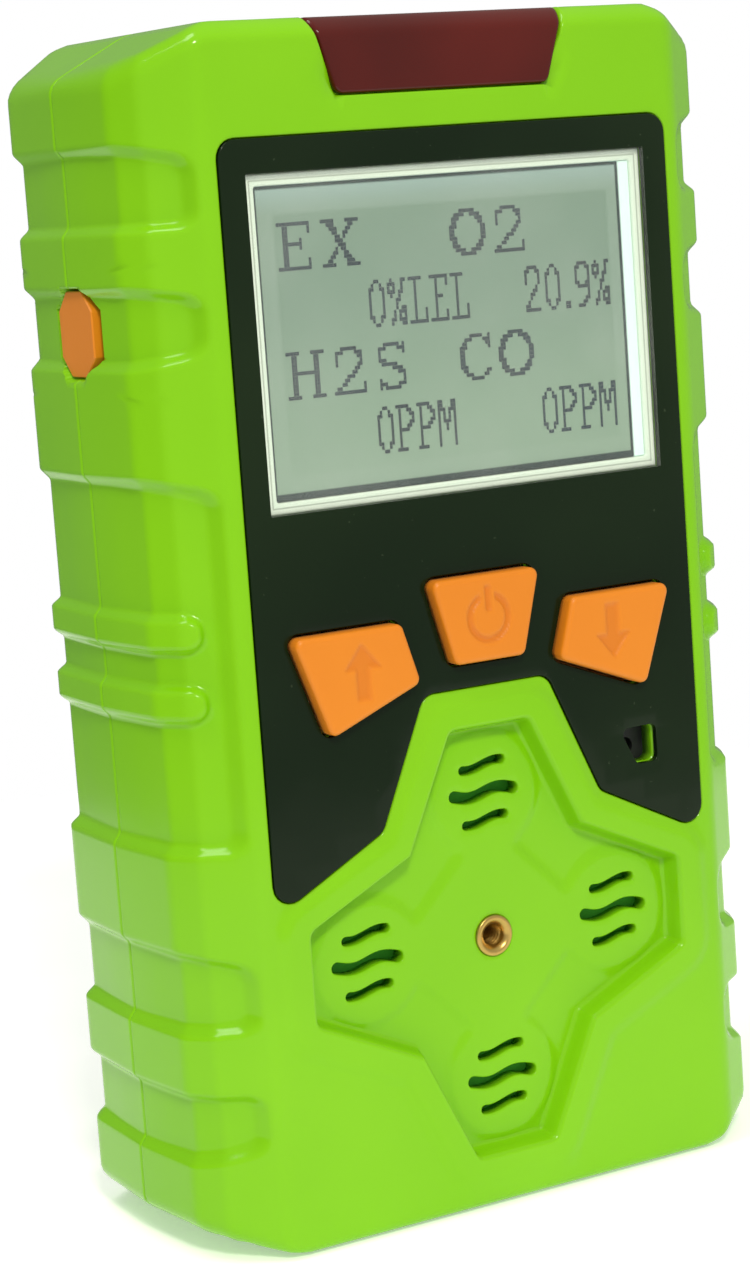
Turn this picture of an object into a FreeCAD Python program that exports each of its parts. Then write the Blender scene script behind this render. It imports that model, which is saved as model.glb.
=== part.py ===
import FreeCAD, Part
import math
import os

# Portable four-gas detector. Millimetres, +Z up, the display faces -Y.
# All pieces are drawn with the case's front plane at y = 0 and its base at z = 0.
# "save" then moves them back by y_centre, so that the origin is the middle of the base.

V = FreeCAD.Vector

# Case
case_height = 130.0
case_width = 75.2
case_depth = 37.0
parting_y = 18.3
facet_width = 8.9
facet_depth = 5.4
side_draft = 1.6
corner_radius = 2.5
top_chamfer = (10.6, 5.4)
bottom_chamfer = (11.1, 3.8)
top_bevel = 2.1
base_bevel = 0.8
side_wall = 3.4
front_wall = 3.0
back_wall = 2.4
end_wall = 2.6

# Grip bands round the sides: recesses between raised bands
recess_depth = 1.1
recess_edge_gap = 1.2
upper_recesses = ((20.5, 12.4, 1.6, 0.0), (34.6, 26.8, 1.2, 1.2))
middle_recess_drop = 46.4
middle_recess_low = 44.8
middle_recess_slant = 1.6
lower_recesses = ((25.2, 33.6, 1.6, 0.5), (11.0, 18.1, 0.0, 1.6))
rib_height = 3.6
rib_centres = (-3.9, 3.5)

# Front overlay, display window and display
overlay_half_width = 27.6
overlay_drop = 12.25
overlay_thickness = 0.7
overlay_proud = -0.1
overlay_radius = 2.0
overlay_skirt = (37.4, 14.05, 44.3, 7.9, 58.2)
display_half_width = 24.6
display_height = 34.95
display_drop = 15.85
display_gap = 0.3
display_recess = 0.95
frame_wall = 1.2
frame_depth = 5.0
glass_recess = 0.3
glass_thickness = 1.8
backlight_thickness = 2.6
ribbon_thickness = 0.2
ribbon_half_width = 12.0
ribbon_heights = (12.0, 2.6)

# Keys
key_proud = 1.4
key_travel = 0.7
key_gap = 0.3
key_flange = 0.8
key_flange_thickness = 0.65
key_stem_radius = 1.6
key_radius = 0.9
sheet_thickness = 0.8
sheet_margin = 1.0
sheet_corner = 2.0
sheet_bar = (14.0, 0.5, 3.0)
key_edge_round = 0.45
stem_gap = 0.6
switch_size = 6.0
switch_height = 2.2
plunger_length = 1.8
plunger_fit = 0.1

# Sensor face
sensor_z = 30.0
sensor_pitch = 16.0
sensor_radius = 10.0
sensor_length = 16.5
star_tip = (4.8, 23.4)
star_shoulder = 10.75
star_depth = 2.1
plateau_depth = 1.8
plateau_reach = 13.2
disc_radius = 6.9
rim_width = 3.9
rim_proud = 0.5
pad_depth = 4.2
slot_pitch = 3.05
slot_sizes = ((8.9, 1.3), (6.0, 1.0), (6.0, 1.0))
slot_wave = (0.36, 7.3)
filter_thickness = 0.3
seal_thickness = 1.5
seal_bore = 7.0
pin_length = 1.6
pin_circle = 6.75
pin_radius = 0.75
inlet_radius = 4.0
insert_radius = 2.3
insert_length = 6.0
insert_bore = 1.25
insert_chamfer = 0.45
insert_boss_radius = 4.2

# Boards, buzzer and motor
board_thickness = 1.6
main_board_y = 7.4
main_board_half_width = 26.5
main_board_drop = 10.1
main_board_low = 58.0
sensor_board_half_width = 26.8
sensor_board_span = (4.0, 59.5)
post_radius = 2.4
main_posts = ((25.0, 6.2), (22.0, 3.2))
sensor_posts = ((25.0, 13.5), (19.5, 16.5))
board_clearance = 0.5
board_screw_radius = 0.8
board_head = (1.9, 1.2)
chip_sizes = ((0.0, 26.0, 12.0, 12.0, 1.4), (-15.0, 22.0, 6.0, 5.0, 1.2),
              (15.0, 36.0, 7.0, 7.0, 1.2), (12.0, 18.0, 9.0, 4.0, 2.0))
cable_size = (0.4, 8.0)
cable_bends = (3.0, 2.5)
cable_ends = (2.5, 1.2)
sound_hole = (19.5, 48.5)
buzzer_radius = 4.2
buzzer_height = 5.0
buzzer_drop = 0.5
buzzer_vent = 1.0
motor_radius = 3.0
motor_span = (8.0, 19.0)
motor_back_gap = 7.0
motor_z = 30.0
motor_shaft_radius = 0.5
shaft_fit = 0.05
shaft_bore = 4.0
shaft_span = (-3.8, 4.6)
weight_span = (0.8, 4.4)
weight_gap = 0.2
weight_flat = 0.4
saddle_half = 4.0

# Battery
battery_size = (48.0, 8.0, 48.0)
battery_drop = 14.0
tape_thickness = 1.0

# Alarm board and its lights, on the top edge behind the lens
alarm_board_half_width = 11.5
alarm_board_drop = 3.2
led_pitch = 8.0
led_drop = 6.2
led_half = (1.6, 1.4)
led_depth = 2.8

# Alarm lens on the top edge
lens_height = 8.3
lens_half_low = 13.05
lens_half_high = 15.7
lens_reach = 11.5
lens_wall = 2.0
lens_seam = 0.1

# Case screws, inserts and seal
case_screw_inset = (13.4, 6.6)
case_boss_radius = 3.3
case_screw_radius = 1.2
case_screw_seat_depth = 5.7
case_screw_length = 12.5
case_socket = (1.1, 1.1)
case_head = (2.5, 2.0)
case_insert = (2.0, 1.25, 5.0)
seal_inset = 1.75
seal_width = 0.9
seal_height = 1.3

# Charging port and its plug, on the left side where the shells meet
port_drop = 31.1
plug_size = (7.9, 9.05)
plug_corner = 2.1
plug_gap = 0.25
plug_proud = 1.2
plug_cap = 2.6
plug_bevel = 0.9
socket_gap = 2.6
board_setback = 0.4
shelf_length = 9.0
shelf_thickness = 1.6
tongue_size = (6.4, 1.9)
tongue_length = 5.2
charge_board_half = 5.0
charge_board_length = 9.6
socket_size = (6.0, 7.6, 3.0)
socket_wall = 0.4

# Belt clip on the back; its (y, z) points have y counted from the back face
clip_z = (38.0, 88.0)
clip_half_width = 11.0
clip_sheet = 1.0
clip_pivot = (7.6, 78.0)
clip_pin_radius = 1.5
clip_pin_fit = 0.05
clip_corner = 3.0
clip_ear_half = 4.6
clip_ear_nose = (1.0, 2.6, 1.5)
clip_cheek = (1.4, 2.8, 6.0)
clip_rivet = (0.7, 0.8, 0.2)
clip_boss = (3.0, 6.0)
clip_side_gap = 0.6
clip_screw_z = (50.0, 62.0)
clip_screw_radius = 1.2
clip_head = (2.6, 0.8)
clip_tip_gap = 0.3
jaw_line = ((13.4, 95.0), (10.6, 86.5), (11.0, 77.0), (9.9, 64.0), (7.4, 53.0), (4.6, 47.5))
jaw_tip_z = 43.6
jaw_lead = (5.4, 39.5)
spring_radius = 2.3
spring_wire = 0.7

port_y = parting_y
half_width = case_width / 2.0
ridge_x = half_width - facet_width
clip_back = case_depth + jaw_line[0][0] + clip_sheet / 2.0
y_centre = (clip_back - key_proud) / 2.0


def save(name, *solids):
    shape = solids[0] if len(solids) == 1 else Part.makeCompound(list(solids))
    shape = shape.copy()
    shape.translate(V(0, -y_centre, 0))
    shape.exportStep("parts/" + name + ".step")


# Drawing helpers

def at(plane, a, b, c):
    if plane == "xy":
        return V(a, b, c)
    if plane == "xz":
        return V(a, c, b)
    return V(c, a, b)


def mirrored(points):
    """A closed outline from its right half, given from bottom to top."""
    return list(points) + [(-a, b) for a, b in reversed(points) if a > 0]


def offset(points, distance):
    """The outline moved outwards; distance is one number or one for each side."""
    count = len(points)
    area = sum(points[i][0] * points[(i + 1) % count][1] - points[(i + 1) % count][0] * points[i][1]
               for i in range(count))
    turn = 1.0 if area > 0 else -1.0
    lines = []
    for i in range(count):
        (ax, ay), (bx, by) = points[i], points[(i + 1) % count]
        size = math.hypot(bx - ax, by - ay)
        dx, dy = (bx - ax) / size, (by - ay) / size
        move = distance[i] if isinstance(distance, (list, tuple)) else distance
        lines.append((ax + dy * turn * move, ay - dx * turn * move, dx, dy))
    moved = []
    for i in range(count):
        ax, ay, adx, ady = lines[i - 1]
        bx, by, bdx, bdy = lines[i]
        cross = adx * bdy - ady * bdx
        reach = ((bx - ax) * bdy - (by - ay) * bdx) / cross
        moved.append((ax + adx * reach, ay + ady * reach))
    return moved


def outline(points, plane, level, radius=0.0):
    """A closed wire through the points, each corner turned by an arc of the radius."""
    if radius <= 0:
        return Part.makePolygon([at(plane, a, b, level) for a, b in points + points[:1]])
    corners = []
    count = len(points)
    for i in range(count):
        (ax, ay), (px, py), (bx, by) = points[i - 1], points[i], points[(i + 1) % count]
        la, lb = math.hypot(ax - px, ay - py), math.hypot(bx - px, by - py)
        ux, uy, wx, wy = (ax - px) / la, (ay - py) / la, (bx - px) / lb, (by - py) / lb
        half = math.acos(max(-1.0, min(1.0, ux * wx + uy * wy))) / 2.0
        cut = min(radius / math.tan(half), 0.48 * la, 0.48 * lb)
        turn = cut * math.tan(half)
        mx, my = ux + wx, uy + wy
        mid = math.hypot(mx, my)
        reach = turn / math.sin(half) - turn
        corners.append(((px + ux * cut, py + uy * cut),
                        (px + mx / mid * reach, py + my / mid * reach),
                        (px + wx * cut, py + wy * cut)))
    edges = []
    for i in range(count):
        start, middle, end = [at(plane, a, b, level) for a, b in corners[i]]
        edges.append(Part.Arc(start, middle, end).toShape())
        following = at(plane, corners[(i + 1) % count][0][0], corners[(i + 1) % count][0][1], level)
        if following.distanceToPoint(end) > 1e-6:
            edges.append(Part.LineSegment(end, following).toShape())
    return Part.Wire(edges)


def prism(points, plane, low, high, radius=0.0):
    face = Part.Face(outline(points, plane, low, radius))
    return face.extrude(at(plane, 0, 0, high - low))


def box(x, y, z):
    """A block from three (low, high) pairs."""
    return Part.makeBox(x[1] - x[0], y[1] - y[0], z[1] - z[0], V(x[0], y[0], z[0]))


def rod(x, z, radius, y_low, y_high):
    """A round bar along Y."""
    return Part.makeCylinder(radius, y_high - y_low, V(x, y_low, z), V(0, 1, 0))


def cross_rod(y, z, radius, x_low, x_high):
    """A round bar along X."""
    return Part.makeCylinder(radius, x_high - x_low, V(x_low, y, z), V(1, 0, 0))


def strip(points, thickness, x_low, x_high):
    """Bent sheet: a line of (y, z) points thickened to both sides and drawn along X."""
    sides = []
    for sign in (1.0, -1.0):
        side = []
        for i, (a, b) in enumerate(points):
            before, after = points[max(i - 1, 0)], points[min(i + 1, len(points) - 1)]
            first = math.atan2(b - before[1], a - before[0]) if i > 0 else None
            second = math.atan2(after[1] - b, after[0] - a) if i < len(points) - 1 else None
            first = second if first is None else first
            second = first if second is None else second
            middle = (first + second) / 2.0
            reach = sign * thickness / 2.0 / math.cos((second - first) / 2.0)
            side.append((a - math.sin(middle) * reach, b + math.cos(middle) * reach))
        sides.append(side)
    return prism(sides[0] + sides[1][::-1], "yz", x_low, x_high)


def fuse_all(solids):
    return solids[0].multiFuse(list(solids[1:])).removeSplitter() if len(solids) > 1 else solids[0]


# Outlines shared by several pieces

def section_points():
    """The case seen from above, counter-clockwise from the front left ridge."""
    corner = half_width - side_draft
    back_corner = half_width - side_draft * 0.75
    right = [(ridge_x, 0.0), (corner, facet_depth), (half_width, parting_y),
             (back_corner, case_depth - facet_depth), (ridge_x, case_depth)]
    return right + [(-x, y) for x, y in reversed(right)]


def front_points():
    """The case seen from the front: chamfered at its four corners."""
    right = [(half_width - bottom_chamfer[0], 0.0), (half_width, bottom_chamfer[1]),
             (half_width, case_height - top_chamfer[1]), (half_width - top_chamfer[0], case_height)]
    return mirrored(right)


def side_points():
    """The case seen from the side, with small bevels along its top and base."""
    return [(base_bevel, 0.0), (case_depth - base_bevel, 0.0), (case_depth, base_bevel),
            (case_depth, case_height - top_bevel), (case_depth - top_bevel, case_height),
            (top_bevel, case_height), (0.0, case_height - top_bevel), (0.0, base_bevel)]


def case_body(side, front, back, ends, rounded=False):
    """The case's solid shape with each wall moved inwards by its own distance."""
    # section sides in order: right facet, right flanks, right back facet, back, then the left ones
    walls = [-side] * 4 + [-back] + [-side] * 4 + [-front]
    section = prism(offset(section_points(), walls), "xy", 0.0, case_height)
    if rounded:
        tall = [e for e in section.Edges
                if abs(e.Vertexes[0].Z - e.Vertexes[-1].Z) > 1.0
                and abs(abs(e.Vertexes[0].X) - half_width) < 2.0
                and abs(e.Vertexes[0].Y - parting_y) > 1.0]
        section = section.makeFillet(corner_radius, tall)
    ends_list = [-side, -side, -side, -ends, -side, -side, -side, -ends]
    plan = prism(offset(front_points(), ends_list), "xz", -1.0, case_depth + 1.0)
    profile = prism(offset(side_points(), [-ends, -back, -back, -ends, -ends, -ends, -front, -front]),
                    "yz", -case_width, case_width)
    return section.common(plan).common(profile)


def recess_windows():
    """The outlines of the side recesses, right side, as (x, z) points."""
    near = ridge_x + recess_edge_gap
    corner = half_width - side_draft
    far = half_width + 5.0
    rows = []
    for drop_low, drop_high, top_slant, low_slant in upper_recesses:
        rows.append((case_height - drop_low, case_height - drop_high, top_slant, low_slant))
    rows.append((middle_recess_low, case_height - middle_recess_drop, middle_recess_slant, 0.0))
    for low, high, top_slant, low_slant in lower_recesses:
        rows.append((low, high, top_slant, low_slant))
    windows = []
    for low, high, top_slant, low_slant in rows:
        windows.append([(near, low + low_slant)]
                       + [(corner, low)] * (low_slant > 0) + [(far, low), (far, high)]
                       + [(corner, high)] * (top_slant > 0) + [(near, high - top_slant)])
    return windows


def rib_solids():
    """Two raised ribs inside the middle recess, on each side."""
    middle = (middle_recess_low + case_height - middle_recess_drop) / 2.0
    ribs = []
    for centre in rib_centres:
        low = middle + centre - rib_height / 2.0
        for sign in (1.0, -1.0):
            near, far = sign * (ridge_x + 1.8), sign * (half_width + 5.0)
            ribs.append(box((min(near, far), max(near, far)), (-1.0, case_depth + 1.0),
                            (low, low + rib_height)))
    return ribs


def star_points():
    """The twelve-cornered recess in which the sensors sit."""
    tip_half, tip = star_tip
    quarter = [(tip_half, -tip), (star_shoulder, -star_shoulder), (tip, -tip_half), (tip, tip_half),
               (star_shoulder, star_shoulder), (tip_half, tip)]
    full = mirrored(quarter)
    return [(x, z + sensor_z) for x, z in full]


def sensor_centres():
    return {"sensor_oxygen": (0.0, sensor_z + sensor_pitch),
            "sensor_carbon_monoxide": (sensor_pitch, sensor_z),
            "sensor_hydrogen_sulfide": (0.0, sensor_z - sensor_pitch),
            "sensor_combustible": (-sensor_pitch, sensor_z)}


def display_span():
    top = case_height - display_drop
    return top - display_height, top


def overlay_points():
    low, notch_x, notch_z, tower_x, tower_z = overlay_skirt
    top = case_height - overlay_drop
    side = [(tower_x, tower_z), (notch_x, notch_z), (overlay_half_width, low), (overlay_half_width, top)]
    return mirrored(side)


def key_outlines():
    """The three keys, measured down from the display's lower edge."""
    base = display_span()[0]
    power = [(4.4, base - 18.25), (6.9, base - 8.9), (-6.9, base - 8.9), (-4.4, base - 18.25)]
    down = [(8.85, base - 19.4), (20.1, base - 23.8), (24.0, base - 12.8), (10.8, base - 12.8)]
    up = [(-x, z) for x, z in reversed(down)]
    return {"up": up, "power": power, "down": down}


def sound_hole_points():
    x, z = sound_hole
    return [(x - 0.4, z - 2.1), (x + 2.4, z - 2.1), (x + 2.4, z + 2.1), (x - 2.5, z + 2.1)]


def slot_points(length, width):
    """A wavy slot: a sine centre line given a constant width, with round ends."""
    height, wave = slot_wave
    steps = 12
    line = []
    for i in range(steps + 1):
        t = length * (i / steps - 0.5) * (length - width) / length
        slope = math.atan2(height * 2 * math.pi / wave * math.cos(2 * math.pi * t / wave), 1.0)
        line.append((t, height * math.sin(2 * math.pi * t / wave), slope))
    lower = [(t + math.sin(s) * width / 2, z - math.cos(s) * width / 2) for t, z, s in line]
    upper = [(t - math.sin(s) * width / 2, z + math.cos(s) * width / 2) for t, z, s in line]
    caps = []
    for (t, z, s), turn in ((line[-1], 0.0), (line[0], math.pi)):
        caps.append([(t + math.cos(s + turn + a) * width / 2, z + math.sin(s + turn + a) * width / 2)
                     for a in (-math.pi / 4, 0.0, math.pi / 4)])
    return lower + caps[0] + upper[::-1] + caps[1]


def slot_cutters(y_low, y_high):
    cutters = []
    for x, z in sensor_centres().values():
        for row, (length, width) in zip((0, 1, -1), slot_sizes):
            points = [(x + a, z + row * slot_pitch + b) for a, b in slot_points(length, width)]
            cutters.append(prism(points, "xz", y_low, y_high))
    return cutters


def lens_points(grow=0.0):
    low = case_height - lens_height
    slope = (lens_half_high - lens_half_low) / lens_height
    high = case_height + 2.0
    shape = mirrored([(lens_half_low, low), (lens_half_low + slope * (high - low), high)])
    return offset(shape, grow)


def port_points(grow=0.0):
    """The port's opening in the side, as (y, z) points with cut corners."""
    y0, z0 = port_y, case_height - port_drop
    a, b, c = plug_size[0] / 2.0, plug_size[1] / 2.0, plug_corner
    shape = [(y0 - a + c, z0 - b), (y0 + a - c, z0 - b), (y0 + a, z0 - b + c), (y0 + a, z0 + b - c),
             (y0 + a - c, z0 + b), (y0 - a + c, z0 + b), (y0 - a, z0 + b - c), (y0 - a, z0 - b + c)]
    return offset(shape, grow)


def case_screw_places():
    x = half_width - case_screw_inset[0]
    low, high = case_screw_inset[1], case_height - case_screw_inset[1]
    return [(x, low), (-x, low), (x, high), (-x, high)]


def main_post_places():
    low, high = display_span()
    (low_x, low_gap), (high_x, high_gap) = main_posts
    low_z, high_z = low - low_gap, high + high_gap
    return [(low_x, low_z), (-low_x, low_z), (high_x, high_z), (-high_x, high_z)]


def sensor_post_places():
    (high_x, rise), (low_x, drop) = sensor_posts
    high_z, low_z = sensor_z + rise, sensor_z - drop
    return [(high_x, high_z), (-high_x, high_z), (low_x, low_z), (-low_x, low_z)]


def sensor_board_y():
    return pad_depth + filter_thickness + seal_thickness + sensor_length + pin_length


# Case

def banded_case():
    """The outer shape with the side recesses cut and the ribs left standing."""
    outer = case_body(0.0, 0.0, 0.0, 0.0, rounded=True)
    floor = case_body(recess_depth, 0.0, 0.0, 0.0)
    bands = []
    for points in recess_windows():
        bands.append(prism(points, "xz", -1.0, case_depth + 1.0, 0.6))
        left = [(-x, z) for x, z in reversed(points)]
        bands.append(prism(left, "xz", -1.0, case_depth + 1.0, 0.6))
    ribs = rib_solids()
    cutter = Part.makeCompound(bands).cut(Part.makeCompound(ribs)).cut(floor)
    return outer.cut(cutter)


def shell_half(case, y_low, y_high):
    cavity = case_body(side_wall, front_wall, back_wall, end_wall)
    slab = box((-case_width, case_width), (y_low, y_high), (-1.0, case_height + 1.0))
    return case.common(slab).cut(cavity)


def front_shell(case):
    shell = shell_half(case, -1.0, parting_y)
    star = star_points()
    rim = prism(offset(star, rim_width), "xz", -rim_proud, 1.0, 2.0)
    pad = prism(offset(star, 2.0), "xz", front_wall - 0.5, pad_depth, 1.0)
    solids = [shell, rim, pad, rod(0, sensor_z, insert_boss_radius, front_wall, insert_depth() + 1.2)]
    for x, z in case_screw_places():
        solids.append(rod(x, z, case_boss_radius, front_wall - 0.5, parting_y))
    for x, z in main_post_places():
        solids.append(rod(x, z, post_radius, front_wall - 0.5, main_board_y))
    for x, z in sensor_post_places():
        solids.append(rod(x, z, post_radius, front_wall - 0.5, sensor_board_y()))
    solids.append(port_shelf())
    # the bosses stay inside the case's own faces
    inner = case_body(1.5, 0.0, 0.0, 1.5)
    solids[3:] = [solid.common(inner) for solid in solids[3:]]
    body = fuse_all(solids)
    cuts = [prism(star, "xz", -rim_proud - 1.0, star_depth)]
    body = body.cut(cuts[0])
    body = body.fuse(plateau()).removeSplitter()
    holes = [prism(overlay_points(), "xz", -rim_proud - 1.0, overlay_back(), overlay_radius)]
    low, high = display_span()
    half = display_half_width + display_gap
    holes.append(box((-half, half), (-2.0, front_wall + 1.0), (low - display_gap, high + display_gap)))
    for points in key_outlines().values():
        holes.append(prism(offset(points, key_gap), "xz", -2.0, front_wall + 1.0, key_radius + key_gap))
    holes.append(prism(sound_hole_points(), "xz", -2.0, front_wall + 1.0, 0.8))
    holes.extend(slot_cutters(-1.0, pad_depth + 1.0))
    holes.append(rod(0, sensor_z, insert_radius, 0.0, insert_depth()))
    holes.append(prism(lens_points(lens_seam), "xz", -2.0, lens_reach + lens_seam))
    holes.append(prism(port_points(plug_gap), "yz", -half_width - 5.0, -half_width + side_wall + 1.5))
    for x, z in case_screw_places():
        holes.append(rod(x, z, case_insert[0], parting_y - case_insert[2], parting_y))
        holes.append(rod(x, z, case_screw_radius + 0.2, parting_y - case_insert[2] - 3.0, parting_y))
    for x, z in main_post_places():
        holes.append(rod(x, z, board_screw_radius + 0.05, main_board_y - 3.0, main_board_y))
    for x, z in sensor_post_places():
        holes.append(rod(x, z, board_screw_radius + 0.05, sensor_board_y() - 4.6, sensor_board_y()))
    return body.cut(Part.makeCompound(holes))


def plateau():
    """The raised middle of the sensor recess: a diamond joined to four discs."""
    reach = plateau_reach
    diamond = [(0.0, sensor_z - reach), (reach, sensor_z), (0.0, sensor_z + reach), (-reach, sensor_z)]
    solids = [prism(diamond, "xz", plateau_depth, star_depth + 0.5)]
    for x, z in sensor_centres().values():
        solids.append(rod(x, z, disc_radius, plateau_depth, star_depth + 0.5))
    inside = prism(offset(star_points(), 0.2), "xz", 0.0, star_depth + 0.5)
    return fuse_all(solids).common(inside)


def overlay_back():
    return overlay_thickness - overlay_proud


def insert_depth():
    return plateau_depth + insert_length


def port_shelf():
    """A ledge on the left wall that carries the small charging board."""
    z_top = case_height - port_drop - socket_size[2] / 2.0 - board_thickness
    return box((-half_width + side_wall - 1.0, -half_width + side_wall + shelf_length),
               (port_y - charge_board_half, parting_y), (z_top - shelf_thickness, z_top))


def rear_shell(case):
    shell = shell_half(case, parting_y, case_depth + 1.0)
    inner_back = case_depth - back_wall
    solids = [shell]
    for x, z in case_screw_places():
        solids.append(rod(x, z, case_boss_radius, parting_y, case_depth - 0.5))
    for z in clip_screw_z:
        solids.append(rod(0, z, clip_boss[0], inner_back - clip_boss[1], case_depth - 0.5))
    y, z = motor_place()
    low, high = motor_span
    solids.append(box((low + 0.5, high - 0.5), (y + 0.5, case_depth - 0.5),
                      (z - saddle_half, z + saddle_half)))
    inner = case_body(1.5, 0.0, 0.0, 1.5)
    solids[1:] = [solid.common(inner) for solid in solids[1:]]
    body = fuse_all(solids)
    holes = [seal_ring()]
    for x, z in case_screw_places():
        holes.append(rod(x, z, case_screw_radius + 0.2, parting_y - 1.0, case_depth))
        holes.append(rod(x, z, case_head[0] + 0.3, parting_y + case_screw_seat_depth, case_depth + 1.0))
    for z in clip_screw_z:
        holes.append(rod(0, z, clip_screw_radius + 0.05, inner_back - 5.0, case_depth + 1.0))
    holes.append(cross_rod(*motor_place(), motor_radius, low, high))
    holes.append(prism(port_points(plug_gap), "yz", -half_width - 5.0, -half_width + side_wall + 1.5))
    return body.cut(Part.makeCompound(holes))


def seal_ring():
    """The silicone cord that lies in a groove between the two shells."""
    outer = prism(offset(front_points(), -seal_inset), "xz", parting_y, parting_y + seal_height)
    inner = prism(offset(front_points(), -seal_inset - seal_width), "xz", parting_y - 1.0,
                  parting_y + seal_height + 1.0)
    gap = prism(port_points(plug_gap + 0.5), "yz", -half_width - 5.0, -half_width + side_wall + 1.5)
    return outer.cut(inner).cut(gap)


def alarm_lens():
    outer = case_body(0.0, 0.0, 0.0, 0.0).cut(case_body(lens_wall, lens_wall, 0.0, lens_wall))
    return outer.common(prism(lens_points(), "xz", -1.0, lens_reach, 0.8))


# Overlay, display and keys

def overlay():
    low, high = display_span()
    sheet = prism(overlay_points(), "xz", -overlay_proud, overlay_back(), overlay_radius)
    holes = [box((-display_half_width, display_half_width), (-1.0, 2.0), (low, high))]
    for points in key_outlines().values():
        holes.append(prism(offset(points, key_gap), "xz", -1.0, 2.0, key_radius + key_gap))
    holes.append(prism(sound_hole_points(), "xz", -1.0, 2.0, 0.8))
    return sheet.cut(Part.makeCompound(holes))


def display_window():
    low, high = display_span()
    return box((-display_half_width, display_half_width), (-overlay_proud, overlay_back()), (low, high))


def display_frame():
    low, high = display_span()
    half = display_half_width
    front, back = display_recess, display_recess + frame_depth
    ring = box((-half, half), (front, back), (low, high))
    ring = ring.cut(box((-half + frame_wall, half - frame_wall), (front - 1.0, back + 1.0),
                        (low + frame_wall, high - frame_wall)))
    feet = []
    for x in (-half + 0.2, half - 2.2):
        for z in (low + 2.0, high - 6.0):
            feet.append(box((x, x + 2.0), (back - 0.5, main_board_y), (z, z + 4.0)))
            feet[-1] = feet[-1].cut(box((-half + frame_wall, half - frame_wall), (0.0, back),
                                        (low + frame_wall, high - frame_wall)))
    return fuse_all([ring] + feet)


def display_stack(front, thickness):
    """A plate that fills the display frame: the glass, or the light guide behind it."""
    low, high = display_span()
    half = display_half_width - frame_wall - 0.05
    return box((-half, half), (front, front + thickness),
               (low + frame_wall + 0.05, high - frame_wall - 0.05))


def display_ribbon():
    low = display_span()[0]
    back = display_recess + glass_recess + glass_thickness + backlight_thickness
    middle = back + ribbon_thickness / 2.0
    high, bend = low + ribbon_heights[0], low + ribbon_heights[1]
    line = [(middle, high), (middle, bend), (main_board_y, bend)]
    ribbon = strip(line, ribbon_thickness, -ribbon_half_width, ribbon_half_width)
    return ribbon.cut(box((-half_width, half_width), (main_board_y, case_depth), (0, case_height)))


def flange_front():
    return front_wall + 0.15


def key_cap(points):
    """A silicone key: cap through the overlay, flange behind the wall, stem to its switch."""
    cap = prism(points, "xz", -key_proud, flange_front(), key_radius)
    edges = [e for e in cap.Edges if abs(e.BoundBox.YMax + key_proud) < 1e-4]
    cap = cap.makeFillet(key_edge_round, edges)
    flange = prism(offset(points, key_flange), "xz", flange_front(),
                   flange_front() + key_flange_thickness, key_radius + key_flange)
    x, z = key_centre(points)
    stem = rod(x, z, key_stem_radius, flange_front(), plunger_front())
    return fuse_all([cap, flange, stem])


def key_centre(points):
    return (sum(p[0] for p in points) / 4.0, sum(p[1] for p in points) / 4.0)


def switch_front():
    return main_board_y - switch_height


def plunger_front():
    return switch_front() - stem_gap


def keypad_sheet():
    outlines = key_outlines()
    solids = [prism(offset(points, key_flange + key_gap + sheet_margin), "xz", front_wall,
                    front_wall + sheet_thickness, sheet_corner) for points in outlines.values()]
    middle = key_centre(outlines["power"])[1]
    half, top, bottom = sheet_bar
    solids.append(box((-half, half), (front_wall, front_wall + sheet_thickness),
                      (middle - bottom, middle - top)))
    sheet = fuse_all(solids)
    holes = [prism(offset(points, key_flange + key_gap), "xz", 0.0, 10.0, key_radius + key_flange)
             for points in outlines.values()]
    return sheet.cut(Part.makeCompound(holes))


def switch_body(points):
    x, z = key_centre(points)
    half = switch_size / 2.0
    body = box((x - half, x + half), (switch_front(), main_board_y), (z - half, z + half))
    bore = rod(x, z, key_stem_radius + plunger_fit, switch_front(), main_board_y - 0.2)
    return body.cut(bore)


def switch_plunger(points):
    x, z = key_centre(points)
    return rod(x, z, key_stem_radius, plunger_front(), plunger_front() + plunger_length)


# Boards

def main_board():
    board = box((-main_board_half_width, main_board_half_width),
                (main_board_y, main_board_y + board_thickness),
                (main_board_low, case_height - main_board_drop))
    holes = [rod(x, z, board_screw_radius + 0.3, 0.0, 20.0) for x, z in main_post_places()]
    return board.cut(Part.makeCompound(holes))


def sensor_board():
    y = sensor_board_y()
    board = box((-sensor_board_half_width, sensor_board_half_width), (y, y + board_thickness),
                sensor_board_span)
    holes = [rod(x, z, board_screw_radius + 0.3, y - 1.0, y + 5.0) for x, z in sensor_post_places()]
    clear = case_boss_radius + board_clearance
    for x, z in case_screw_places()[:2]:
        holes.append(box((x - clear, x + clear), (y - 1.0, y + 5.0), (z - clear, z + clear)))
    return board.cut(Part.makeCompound(holes))


def board_screw(x, z, seat, length):
    """A pan-head screw whose head sits on the board's rear face."""
    head = rod(x, z, board_head[0], seat, seat + board_head[1])
    return fuse_all([head, rod(x, z, board_screw_radius, seat - length, seat + 0.1)])


def board_chips():
    """The processor, its memory, a regulator and a driver on the main board's rear face."""
    back = main_board_y + board_thickness
    top = case_height - main_board_drop
    chips = []
    for x, drop, width, height, thick in chip_sizes:
        chips.append(box((x - width / 2, x + width / 2), (back, back + thick),
                         (top - drop - height / 2, top - drop + height / 2)))
    return chips


def board_ribbon():
    """Flat cable from the main board to the sensor board."""
    start = main_board_y + board_thickness
    end = sensor_board_y()
    z_high, z_low = main_board_low + cable_ends[0], sensor_board_span[1] - cable_ends[1]
    line = [(start, z_high), (start + cable_bends[0], z_high), (end - cable_bends[1], z_low),
            (end, z_low)]
    return strip(line, cable_size[0], -cable_size[1], cable_size[1])


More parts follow.
